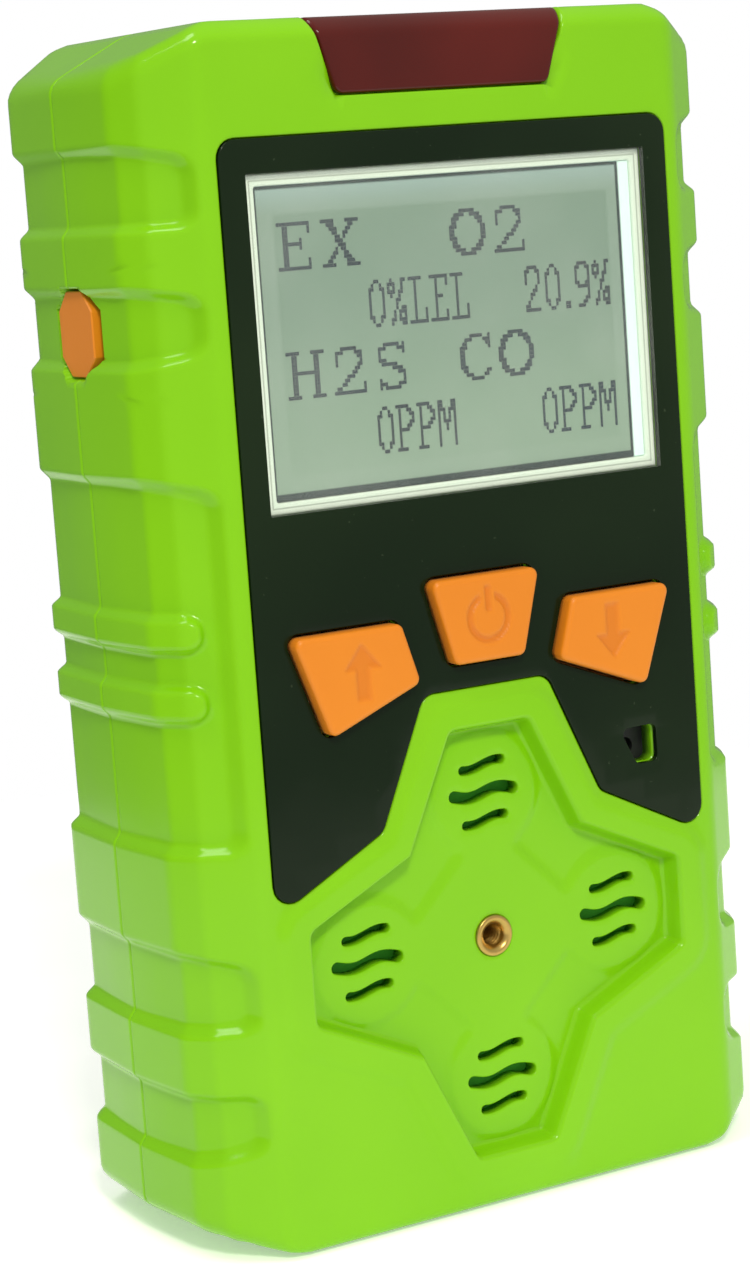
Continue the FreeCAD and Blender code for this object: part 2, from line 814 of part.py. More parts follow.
def gas_sensor(x, z):
    """A cylindrical gas cell with three contact pins at its back."""
    front = pad_depth + filter_thickness + seal_thickness
    body = rod(x, z, sensor_radius, front, front + sensor_length)
    inlet = rod(x, z, inlet_radius, front - 0.5, front + 1.0)
    pins = []
    for turn in (90.0, 210.0, 330.0):
        a = math.radians(turn)
        pins.append(rod(x + pin_circle * math.cos(a), z + pin_circle * math.sin(a), pin_radius,
                        front + sensor_length - 0.5, sensor_board_y()))
    return fuse_all([body, inlet] + pins)


def sensor_seal(x, z):
    front = pad_depth + filter_thickness
    return rod(x, z, sensor_radius - 0.6, front, front + seal_thickness).cut(
        rod(x, z, seal_bore, front - 1.0, front + seal_thickness + 1.0))


def dust_filter(x, z):
    return rod(x, z, seal_bore + 0.6, pad_depth, pad_depth + filter_thickness)


def thread_insert():
    """The knurled brass insert that takes the calibration cap's thumbscrew."""
    body = rod(0, sensor_z, insert_radius, plateau_depth, insert_depth())
    bore = rod(0, sensor_z, insert_bore, plateau_depth - 1.0, insert_depth() + 1.0)
    mouth = Part.makeCone(insert_bore + insert_chamfer, insert_bore, insert_chamfer,
                          V(0, plateau_depth, sensor_z), V(0, 1, 0))
    return body.cut(bore).cut(mouth)


def buzzer():
    x, z = sound_hole[0], sound_hole[1] - buzzer_drop
    case = rod(x, z, buzzer_radius, front_wall, front_wall + buzzer_height)
    return case.cut(rod(x, z, buzzer_vent, front_wall, front_wall + 1.0))


def motor_place():
    return case_depth - motor_back_gap, motor_z


def vibration_motor():
    y, z = motor_place()
    low, high = motor_span
    body = cross_rod(y, z, motor_radius, low, high)
    return body.cut(cross_rod(y, z, motor_shaft_radius + shaft_fit, high - shaft_bore, high))


def motor_weight():
    """The motor's shaft with the half-round weight that makes it shake."""
    y, z = motor_place()
    high = motor_span[1]
    shaft = cross_rod(y, z, motor_shaft_radius, high + shaft_span[0], high + shaft_span[1])
    weight = cross_rod(y, z, motor_radius - weight_gap, high + weight_span[0], high + weight_span[1])
    weight = weight.cut(box((high, high + shaft_span[1]), (y + weight_flat, y + motor_radius),
                            (z - motor_radius, z + motor_radius)))
    return fuse_all([weight, shaft])


def alarm_board():
    low = case_height - main_board_drop
    return box((-alarm_board_half_width, alarm_board_half_width),
               (main_board_y, main_board_y + board_thickness), (low, case_height - alarm_board_drop))


def alarm_leds():
    middle = case_height - led_drop
    half_x, half_z = led_half
    return [box((x - half_x, x + half_x), (main_board_y - led_depth, main_board_y),
                (middle - half_z, middle + half_z)) for x in (-led_pitch, 0.0, led_pitch)]


def battery():
    back = case_depth - back_wall - tape_thickness
    half = battery_size[0] / 2.0
    top = case_height - battery_drop
    return box((-half, half), (back - battery_size[1], back), (top - battery_size[2], top))


def battery_tape():
    back = case_depth - back_wall
    half = battery_size[0] / 2.0 - 4.0
    top = case_height - battery_drop - 4.0
    return box((-half, half), (back - tape_thickness, back), (top - battery_size[2] + 8.0, top))


# Charging port

def port_inner_x():
    return -half_width - plug_proud + recess_depth + plug_cap + 0.2


def port_plug():
    """The silicone plug: a faceted cap flush in the side and a tongue in the socket."""
    outer = port_inner_x() - plug_cap
    cap = prism(port_points(), "yz", outer, port_inner_x())
    edges = [e for e in cap.Edges if abs(e.BoundBox.XMax - outer) < 1e-4]
    cap = cap.makeChamfer(plug_bevel, edges)
    y0, z0 = port_y, case_height - port_drop
    a, b = tongue_size[0] / 2.0, tongue_size[1] / 2.0
    tongue = box((port_inner_x() - 0.5, port_inner_x() + tongue_length), (y0 - a, y0 + a),
                 (z0 - b, z0 + b))
    return fuse_all([cap, tongue])


def socket_front():
    return port_inner_x() + socket_gap


def usb_socket():
    z0 = case_height - port_drop
    x0, size = socket_front(), socket_size
    a, b, w = size[1] / 2.0, size[2] / 2.0, socket_wall
    shell = box((x0, x0 + size[0]), (port_y - a, port_y + a), (z0 - b, z0 + b))
    return shell.cut(box((x0 - 1.0, x0 + size[0] - 1.0), (port_y - a + w, port_y + a - w),
                         (z0 - b + w, z0 + b - w)))


def charge_board():
    top = case_height - port_drop - socket_size[2] / 2.0
    near = socket_front() + board_setback
    return box((near, near + charge_board_length),
               (port_y - charge_board_half, port_y + charge_board_half), (top - board_thickness, top))


# Screws and inserts

def case_screw(x, z):
    seat = parting_y + case_screw_seat_depth
    radius, height = case_head
    socket_radius, socket_depth = case_socket
    head = rod(x, z, radius, seat, seat + height)
    head = head.cut(rod(x, z, socket_radius, seat + height - socket_depth, seat + height + 1.0))
    shank = rod(x, z, case_screw_radius, seat - case_screw_length, seat + 0.5)
    return fuse_all([head, shank])


def case_insert_ring(x, z):
    outer, bore, length = case_insert
    return rod(x, z, outer, parting_y - length, parting_y).cut(
        rod(x, z, bore, parting_y - length - 1.0, parting_y + 1.0))


# Belt clip

def clip_base():
    """Sheet steel plate on the back with two ears that hold the pin."""
    y0, y1 = case_depth, case_depth + clip_sheet
    plate = prism(mirrored([(clip_half_width, clip_z[0]), (clip_half_width, clip_z[1])]),
                  "xz", y0, y1, clip_corner)
    py, pz = clip_pin_place()
    solids = [plate]
    bend, nose, slope = clip_ear_nose
    for sign in (1.0, -1.0):
        near, far = sign * (clip_half_width - clip_sheet), sign * clip_half_width
        ear = prism([(y0, pz - clip_ear_half), (y0, pz + clip_ear_half),
                     (py + bend, pz + clip_ear_half - slope), (py + nose, pz),
                     (py + bend, pz - clip_ear_half + slope)],
                    "yz", min(near, far), max(near, far))
        solids.append(ear)
    body = fuse_all(solids)
    holes = [cross_rod(py, pz, clip_pin_radius, -20.0, 20.0)]
    for z in clip_screw_z:
        holes.append(rod(0, z, clip_screw_radius + 0.2, y0 - 1.0, y1 + 1.0))
    return body.cut(Part.makeCompound(holes))


def clip_pin_place():
    return case_depth + clip_pivot[0], clip_pivot[1]


def jaw_points():
    tip = (clip_sheet + clip_tip_gap + clip_sheet / 2.0, jaw_tip_z)
    return [(case_depth + y, z) for y, z in list(jaw_line) + [tip, jaw_lead]]


def clip_jaw():
    """The sprung lever: thumb tab on top, tip against the plate, two side cheeks on the pin."""
    half = clip_half_width - clip_sheet - clip_side_gap
    py, pz = clip_pin_place()
    blade = strip(jaw_points(), clip_sheet, -half, half)
    cheek_y = case_depth + jaw_line[2][0] - 0.2
    solids = [blade]
    small, wide, tall = clip_cheek
    for sign in (1.0, -1.0):
        near, far = sign * (half - clip_sheet), sign * half
        cheek = prism([(py - wide, pz - small), (py - small, pz - wide), (cheek_y, pz - tall),
                       (cheek_y, pz + tall), (py - small, pz + wide), (py - wide, pz + small)],
                      "yz", min(near, far), max(near, far))
        solids.append(cheek)
    body = fuse_all(solids)
    return body.cut(cross_rod(py, pz, clip_pin_radius, -20.0, 20.0))


def clip_pin():
    py, pz = clip_pin_place()
    radius = clip_pin_radius - clip_pin_fit
    grow, thick, gap = clip_rivet
    end = clip_half_width + gap
    shank = cross_rod(py, pz, radius, -end, end)
    heads = [cross_rod(py, pz, clip_pin_radius + grow, x, x + thick) for x in (-end - thick, end)]
    return fuse_all([shank] + heads)


def clip_spring():
    """The torsion spring's coil round the pin, and its leg down to the plate."""
    py, pz = clip_pin_place()
    half = clip_half_width - 2 * clip_sheet - clip_side_gap - 1.2
    coil = cross_rod(py, pz, spring_radius, -half, half)
    coil = coil.cut(cross_rod(py, pz, spring_radius - spring_wire, -half - 1.0, half + 1.0))
    plate = case_depth + clip_sheet
    leg_z = pz - spring_radius + spring_wire / 2.0
    leg = Part.makeCylinder(spring_wire / 2.0, py - plate, V(half - spring_wire / 2.0, plate, leg_z),
                            V(0, 1, 0))
    leg = leg.cut(cross_rod(py, pz, spring_radius - spring_wire, -half - 1.0, half + 1.0))
    return fuse_all([coil, leg])


def clip_screw(z):
    seat = case_depth + clip_sheet
    head = rod(0, z, clip_head[0], seat, seat + clip_head[1])
    return fuse_all([head, rod(0, z, clip_screw_radius, seat - 6.0, seat + 0.1)])


def build():
    os.makedirs("parts", exist_ok=True)
    case = banded_case()
    save("front_shell", front_shell(case))
    save("rear_shell", rear_shell(case))
    save("case_seal", seal_ring())
    save("alarm_lens", alarm_lens())
    save("panel_overlay", overlay())
    save("display_window", display_window())
    save("display_frame", display_frame())
    glass_front = display_recess + glass_recess
    save("display_glass", display_stack(glass_front, glass_thickness))
    save("display_backlight", display_stack(glass_front + glass_thickness, backlight_thickness))
    save("display_ribbon", display_ribbon())
    save("keypad_sheet", keypad_sheet())
    outlines = key_outlines()
    for name, points in outlines.items():
        save("key_" + name, key_cap(points))
        save("switch_plunger_" + name, switch_plunger(points))
    save("switch_bodies", *[switch_body(points) for points in outlines.values()])
    save("main_board", main_board())
    save("board_chips", *board_chips())
    save("sensor_board", sensor_board())
    save("board_ribbon", board_ribbon())
    screws = [board_screw(x, z, main_board_y + board_thickness, 4.4) for x, z in main_post_places()]
    screws += [board_screw(x, z, sensor_board_y() + board_thickness, 6.0)
               for x, z in sensor_post_places()]
    save("board_screws", *screws)
    centres = sensor_centres()
    for name, (x, z) in centres.items():
        save(name, gas_sensor(x, z))
    save("sensor_seals", *[sensor_seal(x, z) for x, z in centres.values()])
    save("dust_filters", *[dust_filter(x, z) for x, z in centres.values()])
    save("thread_insert", thread_insert())
    save("buzzer", buzzer())
    save("vibration_motor", vibration_motor())
    save("motor_weight", motor_weight())
    save("alarm_board", alarm_board())
    save("alarm_leds", *alarm_leds())
    save("battery_cell", battery())
    save("battery_tape", battery_tape())
    save("port_plug", port_plug())
    save("usb_socket", usb_socket())
    save("charge_board", charge_board())
    places = case_screw_places()
    save("case_screws", *[case_screw(x, z) for x, z in places])
    save("case_inserts", *[case_insert_ring(x, z) for x, z in places])
    save("clip_base", clip_base())
    save("clip_jaw", clip_jaw())
    save("clip_pin", clip_pin())
    save("clip_spring", clip_spring())
    save("clip_screws", *[clip_screw(z) for z in clip_screw_z])
    print("pieces saved:", len(os.listdir("parts")))


build()
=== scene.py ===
import math
import bpy
import bmesh
import numpy as np
from mathutils import Matrix, Vector, geometry


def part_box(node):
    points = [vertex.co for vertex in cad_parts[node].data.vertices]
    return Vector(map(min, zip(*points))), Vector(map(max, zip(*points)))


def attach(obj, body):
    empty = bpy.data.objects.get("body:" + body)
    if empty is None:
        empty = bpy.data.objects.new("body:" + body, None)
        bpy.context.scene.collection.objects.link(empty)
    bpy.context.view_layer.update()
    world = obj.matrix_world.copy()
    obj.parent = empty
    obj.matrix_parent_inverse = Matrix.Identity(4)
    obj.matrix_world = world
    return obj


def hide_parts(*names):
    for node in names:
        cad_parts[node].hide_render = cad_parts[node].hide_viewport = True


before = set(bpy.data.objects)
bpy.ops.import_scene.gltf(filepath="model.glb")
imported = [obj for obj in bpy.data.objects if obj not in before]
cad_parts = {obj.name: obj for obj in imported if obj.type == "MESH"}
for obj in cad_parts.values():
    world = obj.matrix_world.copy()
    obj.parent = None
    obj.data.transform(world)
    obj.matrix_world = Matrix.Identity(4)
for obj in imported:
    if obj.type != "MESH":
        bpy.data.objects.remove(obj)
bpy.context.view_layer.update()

# Studio: a round pale floor under a soft sky that is darker behind the detector, a small warm key
# light in front and one under the ceiling. The camera stands low on the left of the display side.
millimetre = 0.001
floor_radius, floor_sides = 0.24, 96
sky_white, sky_front, sky_behind = (1.0, 1.0, 1.0, 1.0), (0.72, 0.74, 0.7, 1.0), (0.26, 0.275, 0.26, 1.0)
sky_way, sky_spread = (0.25, -0.9, 0.3), 0.6
floor_glow = 0.3
sensor_height, lens_length = 36.0, 86.4
camera_place = Vector((-171.57, -299.34, 112.66)) * millimetre
camera_forward = Vector((0.49358, 0.85718, -0.14707))
camera_up = Vector((0.13553, 0.09123, 0.98656))


def linear(red, green, blue):
    """The colour as linear light: each channel c of 255 becomes ((c + 0.055) / 1.055) ** 2.4."""
    channels = np.array((red, green, blue)) / 255.0
    light = np.where(channels > 0.04045, ((channels + 0.055) / 1.055) ** 2.4, channels / 12.92)
    return (*light.tolist(), 1.0)


class Value:
    """One output of a shader node. Sums, differences and products of values add Math nodes."""

    def __init__(self, graph, socket):
        self.graph, self.socket = graph, socket

    def math(self, operation, *others):
        return self.graph.add("ShaderNodeMath", {"operation": operation},
                              dict(enumerate((self, *others))))

    def __add__(self, other):
        return self.math("ADD", other)

    def __sub__(self, other):
        return self.math("SUBTRACT", other)

    def __rsub__(self, other):
        return (self * -1.0) + other

    def __mul__(self, other):
        return self.math("MULTIPLY", other)

    __radd__, __rmul__ = __add__, __mul__

    def ramp(self, low, high):
        """0 below low, 1 above high, and smooth between them."""
        return self.graph.add("ShaderNodeMapRange", {"interpolation_type": "SMOOTHSTEP"},
                              {"Value": self, "From Min": low, "From Max": high})


class Graph:
    """The node tree of a material or of the sky, with the shader that the other nodes feed."""

    def __init__(self, owner, shader):
        owner.use_nodes = True
        self.nodes, self.links = owner.node_tree.nodes, owner.node_tree.links
        self.shader = self.nodes[shader]

    def add(self, kind, settings=None, values=None, output=0):
        """A node of that kind: its settings are set, then its sockets are given or linked."""
        node = self.nodes.new(kind)
        for setting, choice in (settings or {}).items():
            setattr(node, setting, choice)
        for socket, value in (values or {}).items():
            if isinstance(value, Value):
                self.links.new(value.socket, node.inputs[socket])
            else:
                node.inputs[socket].default_value = value
        return Value(self, node.outputs[output])

    def mix(self, share, first, second):
        """The first colour where share is 0 and the second where it is 1."""
        return self.add("ShaderNodeMix", {"data_type": "RGBA"}, {0: share, 6: first, 7: second}, 2)

    def feed(self, **sockets):
        for socket, value in sockets.items():
            self.links.new(value.socket, self.shader.inputs[socket.replace("_", " ")])
        return self


class Finish(Graph):
    """A material: one Principled shader with constants on its sockets, and nodes that feed it."""

    def __init__(self, name, **constants):
        self.material = bpy.data.materials.new(name)
        super().__init__(self.material, "Principled BSDF")
        for socket, constant in constants.items():
            self.shader.inputs[socket.replace("_", " ")].default_value = constant

    def place(self):
        return self.add("ShaderNodeTexCoord", output=3)

    def along(self, axis):
        """The piece's own x, y or z in metres, for an axis of 0, 1 or 2."""
        return self.add("ShaderNodeSeparateXYZ", None, {"Vector": self.place()}, axis)

    def noise(self, scale, detail=2.0, stretch=(1.0, 1.0, 1.0)):
        """Soft noise over the piece's own coordinates; scale is waves per metre."""
        spread = self.add("ShaderNodeMapping", None, {"Vector": self.place(), "Scale": stretch})
        return self.add("ShaderNodeTexNoise", None,
                        {"Vector": spread, "Scale": scale, "Detail": detail})

    def bump(self, height, depth, strength=1.0):
        """Small relief: depth is in metres for a height that runs from 0 to 1."""
        return self.feed(Normal=self.add("ShaderNodeBump", None,
                                         {"Height": height, "Distance": depth, "Strength": strength}))


def moulded(name, dark, light, roughness, grain=1500.0, grain_depth=0.00001, **constants):
    """Moulded or painted stuff: slow drift between two near colours, and a fine even grain."""
    finish = Finish(name, **constants)
    drift, grains = finish.noise(38.0, 3.0), finish.noise(grain, 1.0)
    finish.tone = finish.mix(drift.ramp(0.3, 0.7), linear(*dark), linear(*light))
    finish.feed(Base_Color=finish.tone,
                Roughness=(drift - 0.5) * 0.12 + (grains - 0.5) * 0.06 + roughness)
    return finish.bump(grains, grain_depth)


def dress(finish, *nodes):
    """Gives CAD nodes or new pieces this finish as their only material."""
    for node in nodes:
        data = (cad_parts[node] if isinstance(node, str) else node).data
        data.materials.clear()
        data.materials.append(finish.material)


def piece(name, points, faces, finish, scale=millimetre, smooth=True, merge=True):
    """A mesh piece from rows of (x, y, z) in millimetres and lists of corners."""
    mesh = bpy.data.meshes.new(name)
    mesh.from_pydata((np.asarray(points, float) * scale).tolist(), [], faces)
    made = bpy.data.objects.new(name, mesh)
    bpy.context.scene.collection.objects.link(made)
    if merge:
        work = bmesh.new()
        work.from_mesh(mesh)
        bmesh.ops.remove_doubles(work, verts=work.verts, dist=0.002 * scale)
        bmesh.ops.dissolve_degenerate(work, edges=work.edges, dist=0.0005 * scale)
        bmesh.ops.recalc_face_normals(work, faces=work.faces)
        work.to_mesh(mesh)
        work.free()
    mesh.shade_smooth() if smooth else mesh.shade_flat()
    dress(finish, made)
    return made


def fit(made, node, body):
    """Puts a piece in the place of its CAD node, whose mesh it hides, and on a body."""
    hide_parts(node)
    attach(made, body)


def area_light(name, place, aim, size, watts, colour):
    lamp = bpy.data.lights.new(name, "AREA")
    lamp.shape, lamp.size, lamp.size_y, lamp.energy, lamp.color = "RECTANGLE", *size, watts, colour
    made = bpy.data.objects.new(name, lamp)
    made.location = place
    made.rotation_euler = (Vector(aim) - Vector(place)).to_track_quat("-Z", "Y").to_euler()
    bpy.context.scene.collection.objects.link(made)


sky = bpy.data.worlds.new("studio_sky")
dome = Graph(sky, "Background")
frontward = dome.add("ShaderNodeVectorMath", {"operation": "DOT_PRODUCT"},
                     {0: dome.add("ShaderNodeTexCoord"), 1: sky_way}, 1)
soft_sky = dome.mix(frontward.ramp(-sky_spread, sky_spread), sky_behind, sky_front)
dome.feed(Color=dome.mix(dome.add("ShaderNodeLightPath"), soft_sky, sky_white))
bpy.context.scene.world = sky
bpy.context.scene.view_settings.view_transform = "Standard"
area_light("key_light", (-0.24, -0.62, 0.58), (0, 0, 0.07), (0.12, 0.12), 3.7, (1.0, 0.95, 0.82))
area_light("ceiling_light", (-0.26, -0.04, 0.80), (0, 0, 0.07), (0.16, 0.40), 1.8, (1.0, 0.98, 0.92))

floor_paint = moulded("floor_paint", (247, 247, 246), (250, 250, 249), 0.8,
                      Emission_Color=sky_white, Emission_Strength=floor_glow)
turns = np.linspace(0.0, 2.0 * math.pi, floor_sides, endpoint=False)
floor_edge = np.stack((np.cos(turns), np.sin(turns), 0.0 * turns), 1)
floor = piece("studio_floor", floor_edge, [list(range(floor_sides))], floor_paint, floor_radius,
              smooth=False, merge=False)

camera = bpy.data.objects.new("camera", bpy.data.cameras.new("camera"))
bpy.context.scene.collection.objects.link(camera)
camera_right = camera_forward.cross(camera_up).normalized()
axes = Matrix((camera_right, camera_right.cross(camera_forward), -camera_forward.normalized()))
camera.matrix_world = Matrix.Translation(camera_place) @ axes.transposed().to_4x4()
camera.data.sensor_fit = "VERTICAL"
camera.data.sensor_height, camera.data.lens = sensor_height, lens_length
bpy.context.scene.camera = camera

# Case: two shells of lime ABS, moulded with soft raised grip bands round the sides, and screwed
# together at a parting line half way through the depth. Everything is worked out in case
# coordinates: x from the middle, y backwards from the front plane, z up from the base, in mm.
overlay_low, overlay_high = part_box("panel_overlay")
overlay_front = 0.1
front_plane = overlay_low.y / millimetre - overlay_front
case_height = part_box("rear_shell")[1].z / millimetre
case_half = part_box("rear_shell")[1].x / millimetre
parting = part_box("case_seal")[0].y / millimetre - front_plane
case_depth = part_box("clip_base")[0].y / millimetre - front_plane
facet_width, facet_drop = 8.9, 5.4
ridge_x = case_half - facet_width
front_draft, back_draft = 1.6, 1.2
side_x = case_half - front_draft
bottom_chamfer, top_chamfer = (11.1, 3.8), (10.6, 5.4)
base_bevel, top_bevel = 0.8, 2.1
section_round, plan_round, profile_round = 2.8, 1.4, 0.8
chamfer_round, bevel_round = 1.8, 1.0
facet_cut, side_cut = 0.24, 0.168
shell_wall, sensor_wall = 3.0, 1.2
groove_half, groove_depth = 0.28, 0.22
core_half, core_low, core_high = ridge_x - 0.6, 1.6, case_height - 3.4
left_limit = -20.0
parting_gap = 0.01
ray_reach, halvings, first_rays = 60.0, 28, 70
inner_rows = 7
right_columns, left_columns, bottom_columns, fan_columns = 250, 300, 61, 22

band_depth = 1.1
band_near = ridge_x + 1.5
band_slope = 1.35
recesses = ((case_height - 20.5, case_height - 12.4, 1.6, 0.0),
            (case_height - 34.6, case_height - 26.8, 1.2, 1.2),
            (44.8, case_height - 46.4, 1.6, 0.0),
            (25.2, 33.6, 1.6, 0.5), (11.0, 18.1, 0.0, 1.6))
band_round = 1.6
rib_centres, rib_half = (60.3, 67.7), 1.75
rib_longer, rib_round, rib_slope = 1.9, 1.5, 0.6

sensor_middle = 0.5 * (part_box("thread_insert")[0].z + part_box("thread_insert")[1].z) / millimetre
star_quarter = ((4.8, -23.4), (10.75, -10.75), (23.4, -4.8), (23.4, 4.8), (10.75, 10.75), (4.8, 23.4))
star_round = 0.7
star_floor, plateau_floor, plateau_reach, disc_radius = 2.1, 1.8, 13.2, 6.9
plateau_slope, disc_blend = 0.35, 0.9
rim_flat, rim_end, rim_proud = 2.9, 4.7, 0.5
sensor_pitch, slot_pitch = 16.0, 3.05
slot_sizes = ((0, 8.9, 1.3), (1, 6.0, 1.0), (-1, 6.0, 1.0))
slot_height, slot_wave = 0.36, 7.3
slot_lip = 0.24
insert_radius = 2.3
insert_lip, insert_sink = 0.15, 0.1

display_half = 24.6
display_low, display_high = (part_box("display_window")[k].z / millimetre for k in (0, 1))
overlay_half = overlay_high.x / millimetre
overlay_top = overlay_high.z / millimetre
overlay_round, overlay_gap, pocket_floor = 2.0, 0.06, 0.85
overlay_right = ((7.9, 58.2), (14.05, 44.3), (overlay_half, 37.4), (overlay_half, overlay_top))
key_gap, key_round = 0.3, 0.9
key_right = ((8.85, -19.4), (20.1, -23.8), (24.0, -12.8), (10.8, -12.8))
power_right = ((4.4, -18.25), (6.9, -8.9))
sound_x, sound_z, sound_round = 19.5, 48.5, 0.8
lens_low = case_height - 8.3
lens_half_low, lens_half_high, lens_reach = 13.05, 15.7, 11.5
lens_slope = (lens_half_high - lens_half_low) / (case_height - lens_low)
lens_seat, lens_corner = 1.4, 0.8
plug_middle = tuple(0.5 * (a + b) / millimetre for a, b in zip(*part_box("port_plug")))
plug_y, plug_z = plug_middle[1] - front_plane, plug_middle[2]
plug_half_y, plug_half_z, plug_corner = 3.95, 4.525, 2.1
plug_gap, plug_pocket = 0.12, 1.9


def step(values, low, high):
    """Smooth step: 3 t^2 - 2 t^3, where t runs from 0 at low to 1 at high."""
    t = np.clip((values - low) / (high - low), 0.0, 1.0)
    return t * t * (3.0 - 2.0 * t)


def round_meet(a, b, radius):
    """Distance to where two half-spaces meet in an edge of that radius:
    min(max(a, b), -r) + hypot(max(a + r, 0), max(b + r, 0))."""
    lift_a, lift_b = np.maximum(a + radius, 0.0), np.maximum(b + radius, 0.0)
    return np.minimum(np.maximum(a, b), -radius) + np.hypot(lift_a, lift_b)


def polygon_distance(a, b, corners):
    """Signed distance to a closed polygon: that of the nearest edge, negative where a line to one
    side crosses the outline an odd number of times."""
    nearest, inside = np.full(np.shape(a), np.inf), np.zeros(np.shape(a), bool)
    for (a0, b0), (a1, b1) in zip(corners, np.roll(corners, -1, axis=0)):
        da, db = a1 - a0, b1 - b0
        along = np.clip(((a - a0) * da + (b - b0) * db) / (da * da + db * db), 0.0, 1.0)
        nearest = np.minimum(nearest, (a - a0 - along * da) ** 2 + (b - b0 - along * db) ** 2)
        if b1 != b0:
            inside ^= ((b0 > b) != (b1 > b)) & (a < da * (b - b0) / db + a0)
    return np.where(inside, -1.0, 1.0) * np.sqrt(nearest)


def rectangle(left, right, low, high):
    """A rectangle's corners, counter-clockwise from its lower left."""
    return np.array(((left, low), (right, low), (right, high), (left, high)))


def mirrored(right):
    """A closed outline from its right half, given counter-clockwise."""
    right = np.array(right, float)
    left = right[::-1] * (-1.0, 1.0)
    return np.vstack((right, left[left[:, 0] < 0]))


def moved_out(corners, distance):
    """The polygon with every side moved out by its distance: each corner is where its two moved
    sides cross. Counter-clockwise corners."""
    corners = np.asarray(corners, float)
    distance = np.broadcast_to(distance, len(corners))
    along = np.roll(corners, -1, axis=0) - corners
    along /= np.hypot(*along.T)[:, None]
    start = corners + np.stack((along[:, 1], -along[:, 0]), 1) * distance[:, None]
    before, before_start = np.roll(along, 1, axis=0), np.roll(start, 1, axis=0)
    gap = start - before_start
    cross = before[:, 0] * along[:, 1] - before[:, 1] * along[:, 0]
    reach = (gap[:, 0] * along[:, 1] - gap[:, 1] * along[:, 0]) / cross
    return before_start + before * reach[:, None]


def outline(corners, radius, grow=0.0, spacing=1.2, steps=7):
    """The polygon moved out by grow, its corners turned by arcs whose centres stay put: radius +
    grow where it bulges and radius - grow where it is notched. Straight runs are divided."""
    moved = moved_out(corners, grow)
    most = float(np.max(grow))
    points = []
    for before, corner, after in zip(np.roll(moved, 1, axis=0), moved, np.roll(moved, -1, axis=0)):
        back, ahead = before - corner, after - corner
        run = min(np.hypot(*back), np.hypot(*ahead))
        back, ahead = back / np.hypot(*back), ahead / np.hypot(*ahead)
        bulge = back[1] * ahead[0] - back[0] * ahead[1] > 0
        half = math.acos(np.clip(back @ ahead, -1.0, 1.0)) / 2.0
        turn = max(radius + most if bulge else radius - most, 0.05)
        turn = min(turn, 0.45 * run * math.tan(half))
        centre = corner + (back + ahead) / np.hypot(*(back + ahead)) * turn / math.sin(half)
        first, last = (corner + way * turn / math.tan(half) - centre for way in (back, ahead))
        start = math.atan2(first[1], first[0])
        sweep = (math.atan2(last[1], last[0]) - start + math.pi) % (2.0 * math.pi) - math.pi
        angles = start + sweep * np.linspace(0.0, 1.0, steps)
        points.append(centre + turn * np.stack((np.cos(angles), np.sin(angles)), 1))
    rows = []
    for arc, following in zip(points, points[1:] + points[:1]):
        count = int(np.hypot(*(following[0] - arc[-1])) // spacing)
        share = np.linspace(0.0, 1.0, count + 2)[1:-1, None]
        rows += [arc, arc[-1] * (1.0 - share) + following[0] * share]
    return np.vstack(rows)


facet_edge = np.array((side_x, facet_drop))
section_right = ((ridge_x, 0.0), facet_edge + (np.array((ridge_x, 0.0)) - facet_edge) * facet_cut,
                 facet_edge + (np.array((case_half, parting)) - facet_edge) * side_cut,
                 (case_half, parting),
                 (case_half - back_draft, case_depth - facet_drop), (ridge_x, case_depth))
section = moved_out(mirrored(section_right), -section_round)
plan_right = ((case_half - bottom_chamfer[0], 0.0), (case_half, bottom_chamfer[1]),
              (case_half, case_height - top_chamfer[1]), (case_half - top_chamfer[0], case_height))
plan = moved_out(mirrored(plan_right), -plan_round)
profile = moved_out(((base_bevel, 0.0), (case_depth - base_bevel, 0.0), (case_depth, base_bevel),
                     (case_depth, case_height - top_bevel), (case_depth - top_bevel, case_height),
                     (top_bevel, case_height), (0.0, case_height - top_bevel), (0.0, base_bevel)),
                    -profile_round)
star = mirrored(star_quarter) + (0.0, sensor_middle)
overlay_edge = mirrored(overlay_right)
keys = {"down": np.array(key_right) + (0.0, display_low)}
keys["up"] = keys["down"][::-1] * (-1.0, 1.0)
keys["power"] = mirrored(power_right) + (0.0, display_low)
sound_hole = np.array(((-0.4, -2.1), (2.4, -2.1), (2.4, 2.1), (-2.5, 2.1))) + (sound_x, sound_z)
lens_front = np.array(((lens_half_low + lens_slope * (core_high - lens_low), core_high),
                       (-lens_half_low - lens_slope * (core_high - lens_low), core_high),
                       (-lens_half_low, lens_low), (lens_half_low, lens_low)))
sensor_places = ((0.0, 1.0), (0.0, -1.0), (1.0, 0.0), (-1.0, 0.0))
sensor_places = [(a * sensor_pitch, b * sensor_pitch + sensor_middle) for a, b in sensor_places]


def plain_case(x, y, z):
    """Distance to the plain case: three rounded outlines, seen from above, the front and the side,
    that meet in soft edges."""
    above = polygon_distance(x, y, section) - section_round
    ahead = polygon_distance(x, z, plan) - plan_round
    aside = polygon_distance(y, z, profile) - profile_round
    return round_meet(round_meet(above, ahead, chamfer_round), aside, bevel_round)


def band_mask(x, z):
    """1 in the recesses between the grip bands, 0 on the bands and ribs, smooth between. A recess's
    ends slant by their full amount at its near end and not at all at the side."""
    across = np.abs(x)
    slant = np.clip((side_x - across) / (side_x - band_near), 0.0, 1.0)
    mask = np.zeros(np.shape(x))
    for low, high, top_slant, low_slant in recesses:
        ends = np.maximum(low + low_slant * slant - z, z - high + top_slant * slant)
        inside = round_meet(band_near - across, ends, band_round)
        mask = np.maximum(mask, step(-inside, -0.5 * band_slope, 0.5 * band_slope))
    for centre in rib_centres:
        rib = round_meet(band_near + rib_longer - across, np.abs(z - centre) - rib_half, rib_round)
        mask *= 1.0 - step(-rib, -rib_slope, rib_slope)
    return mask


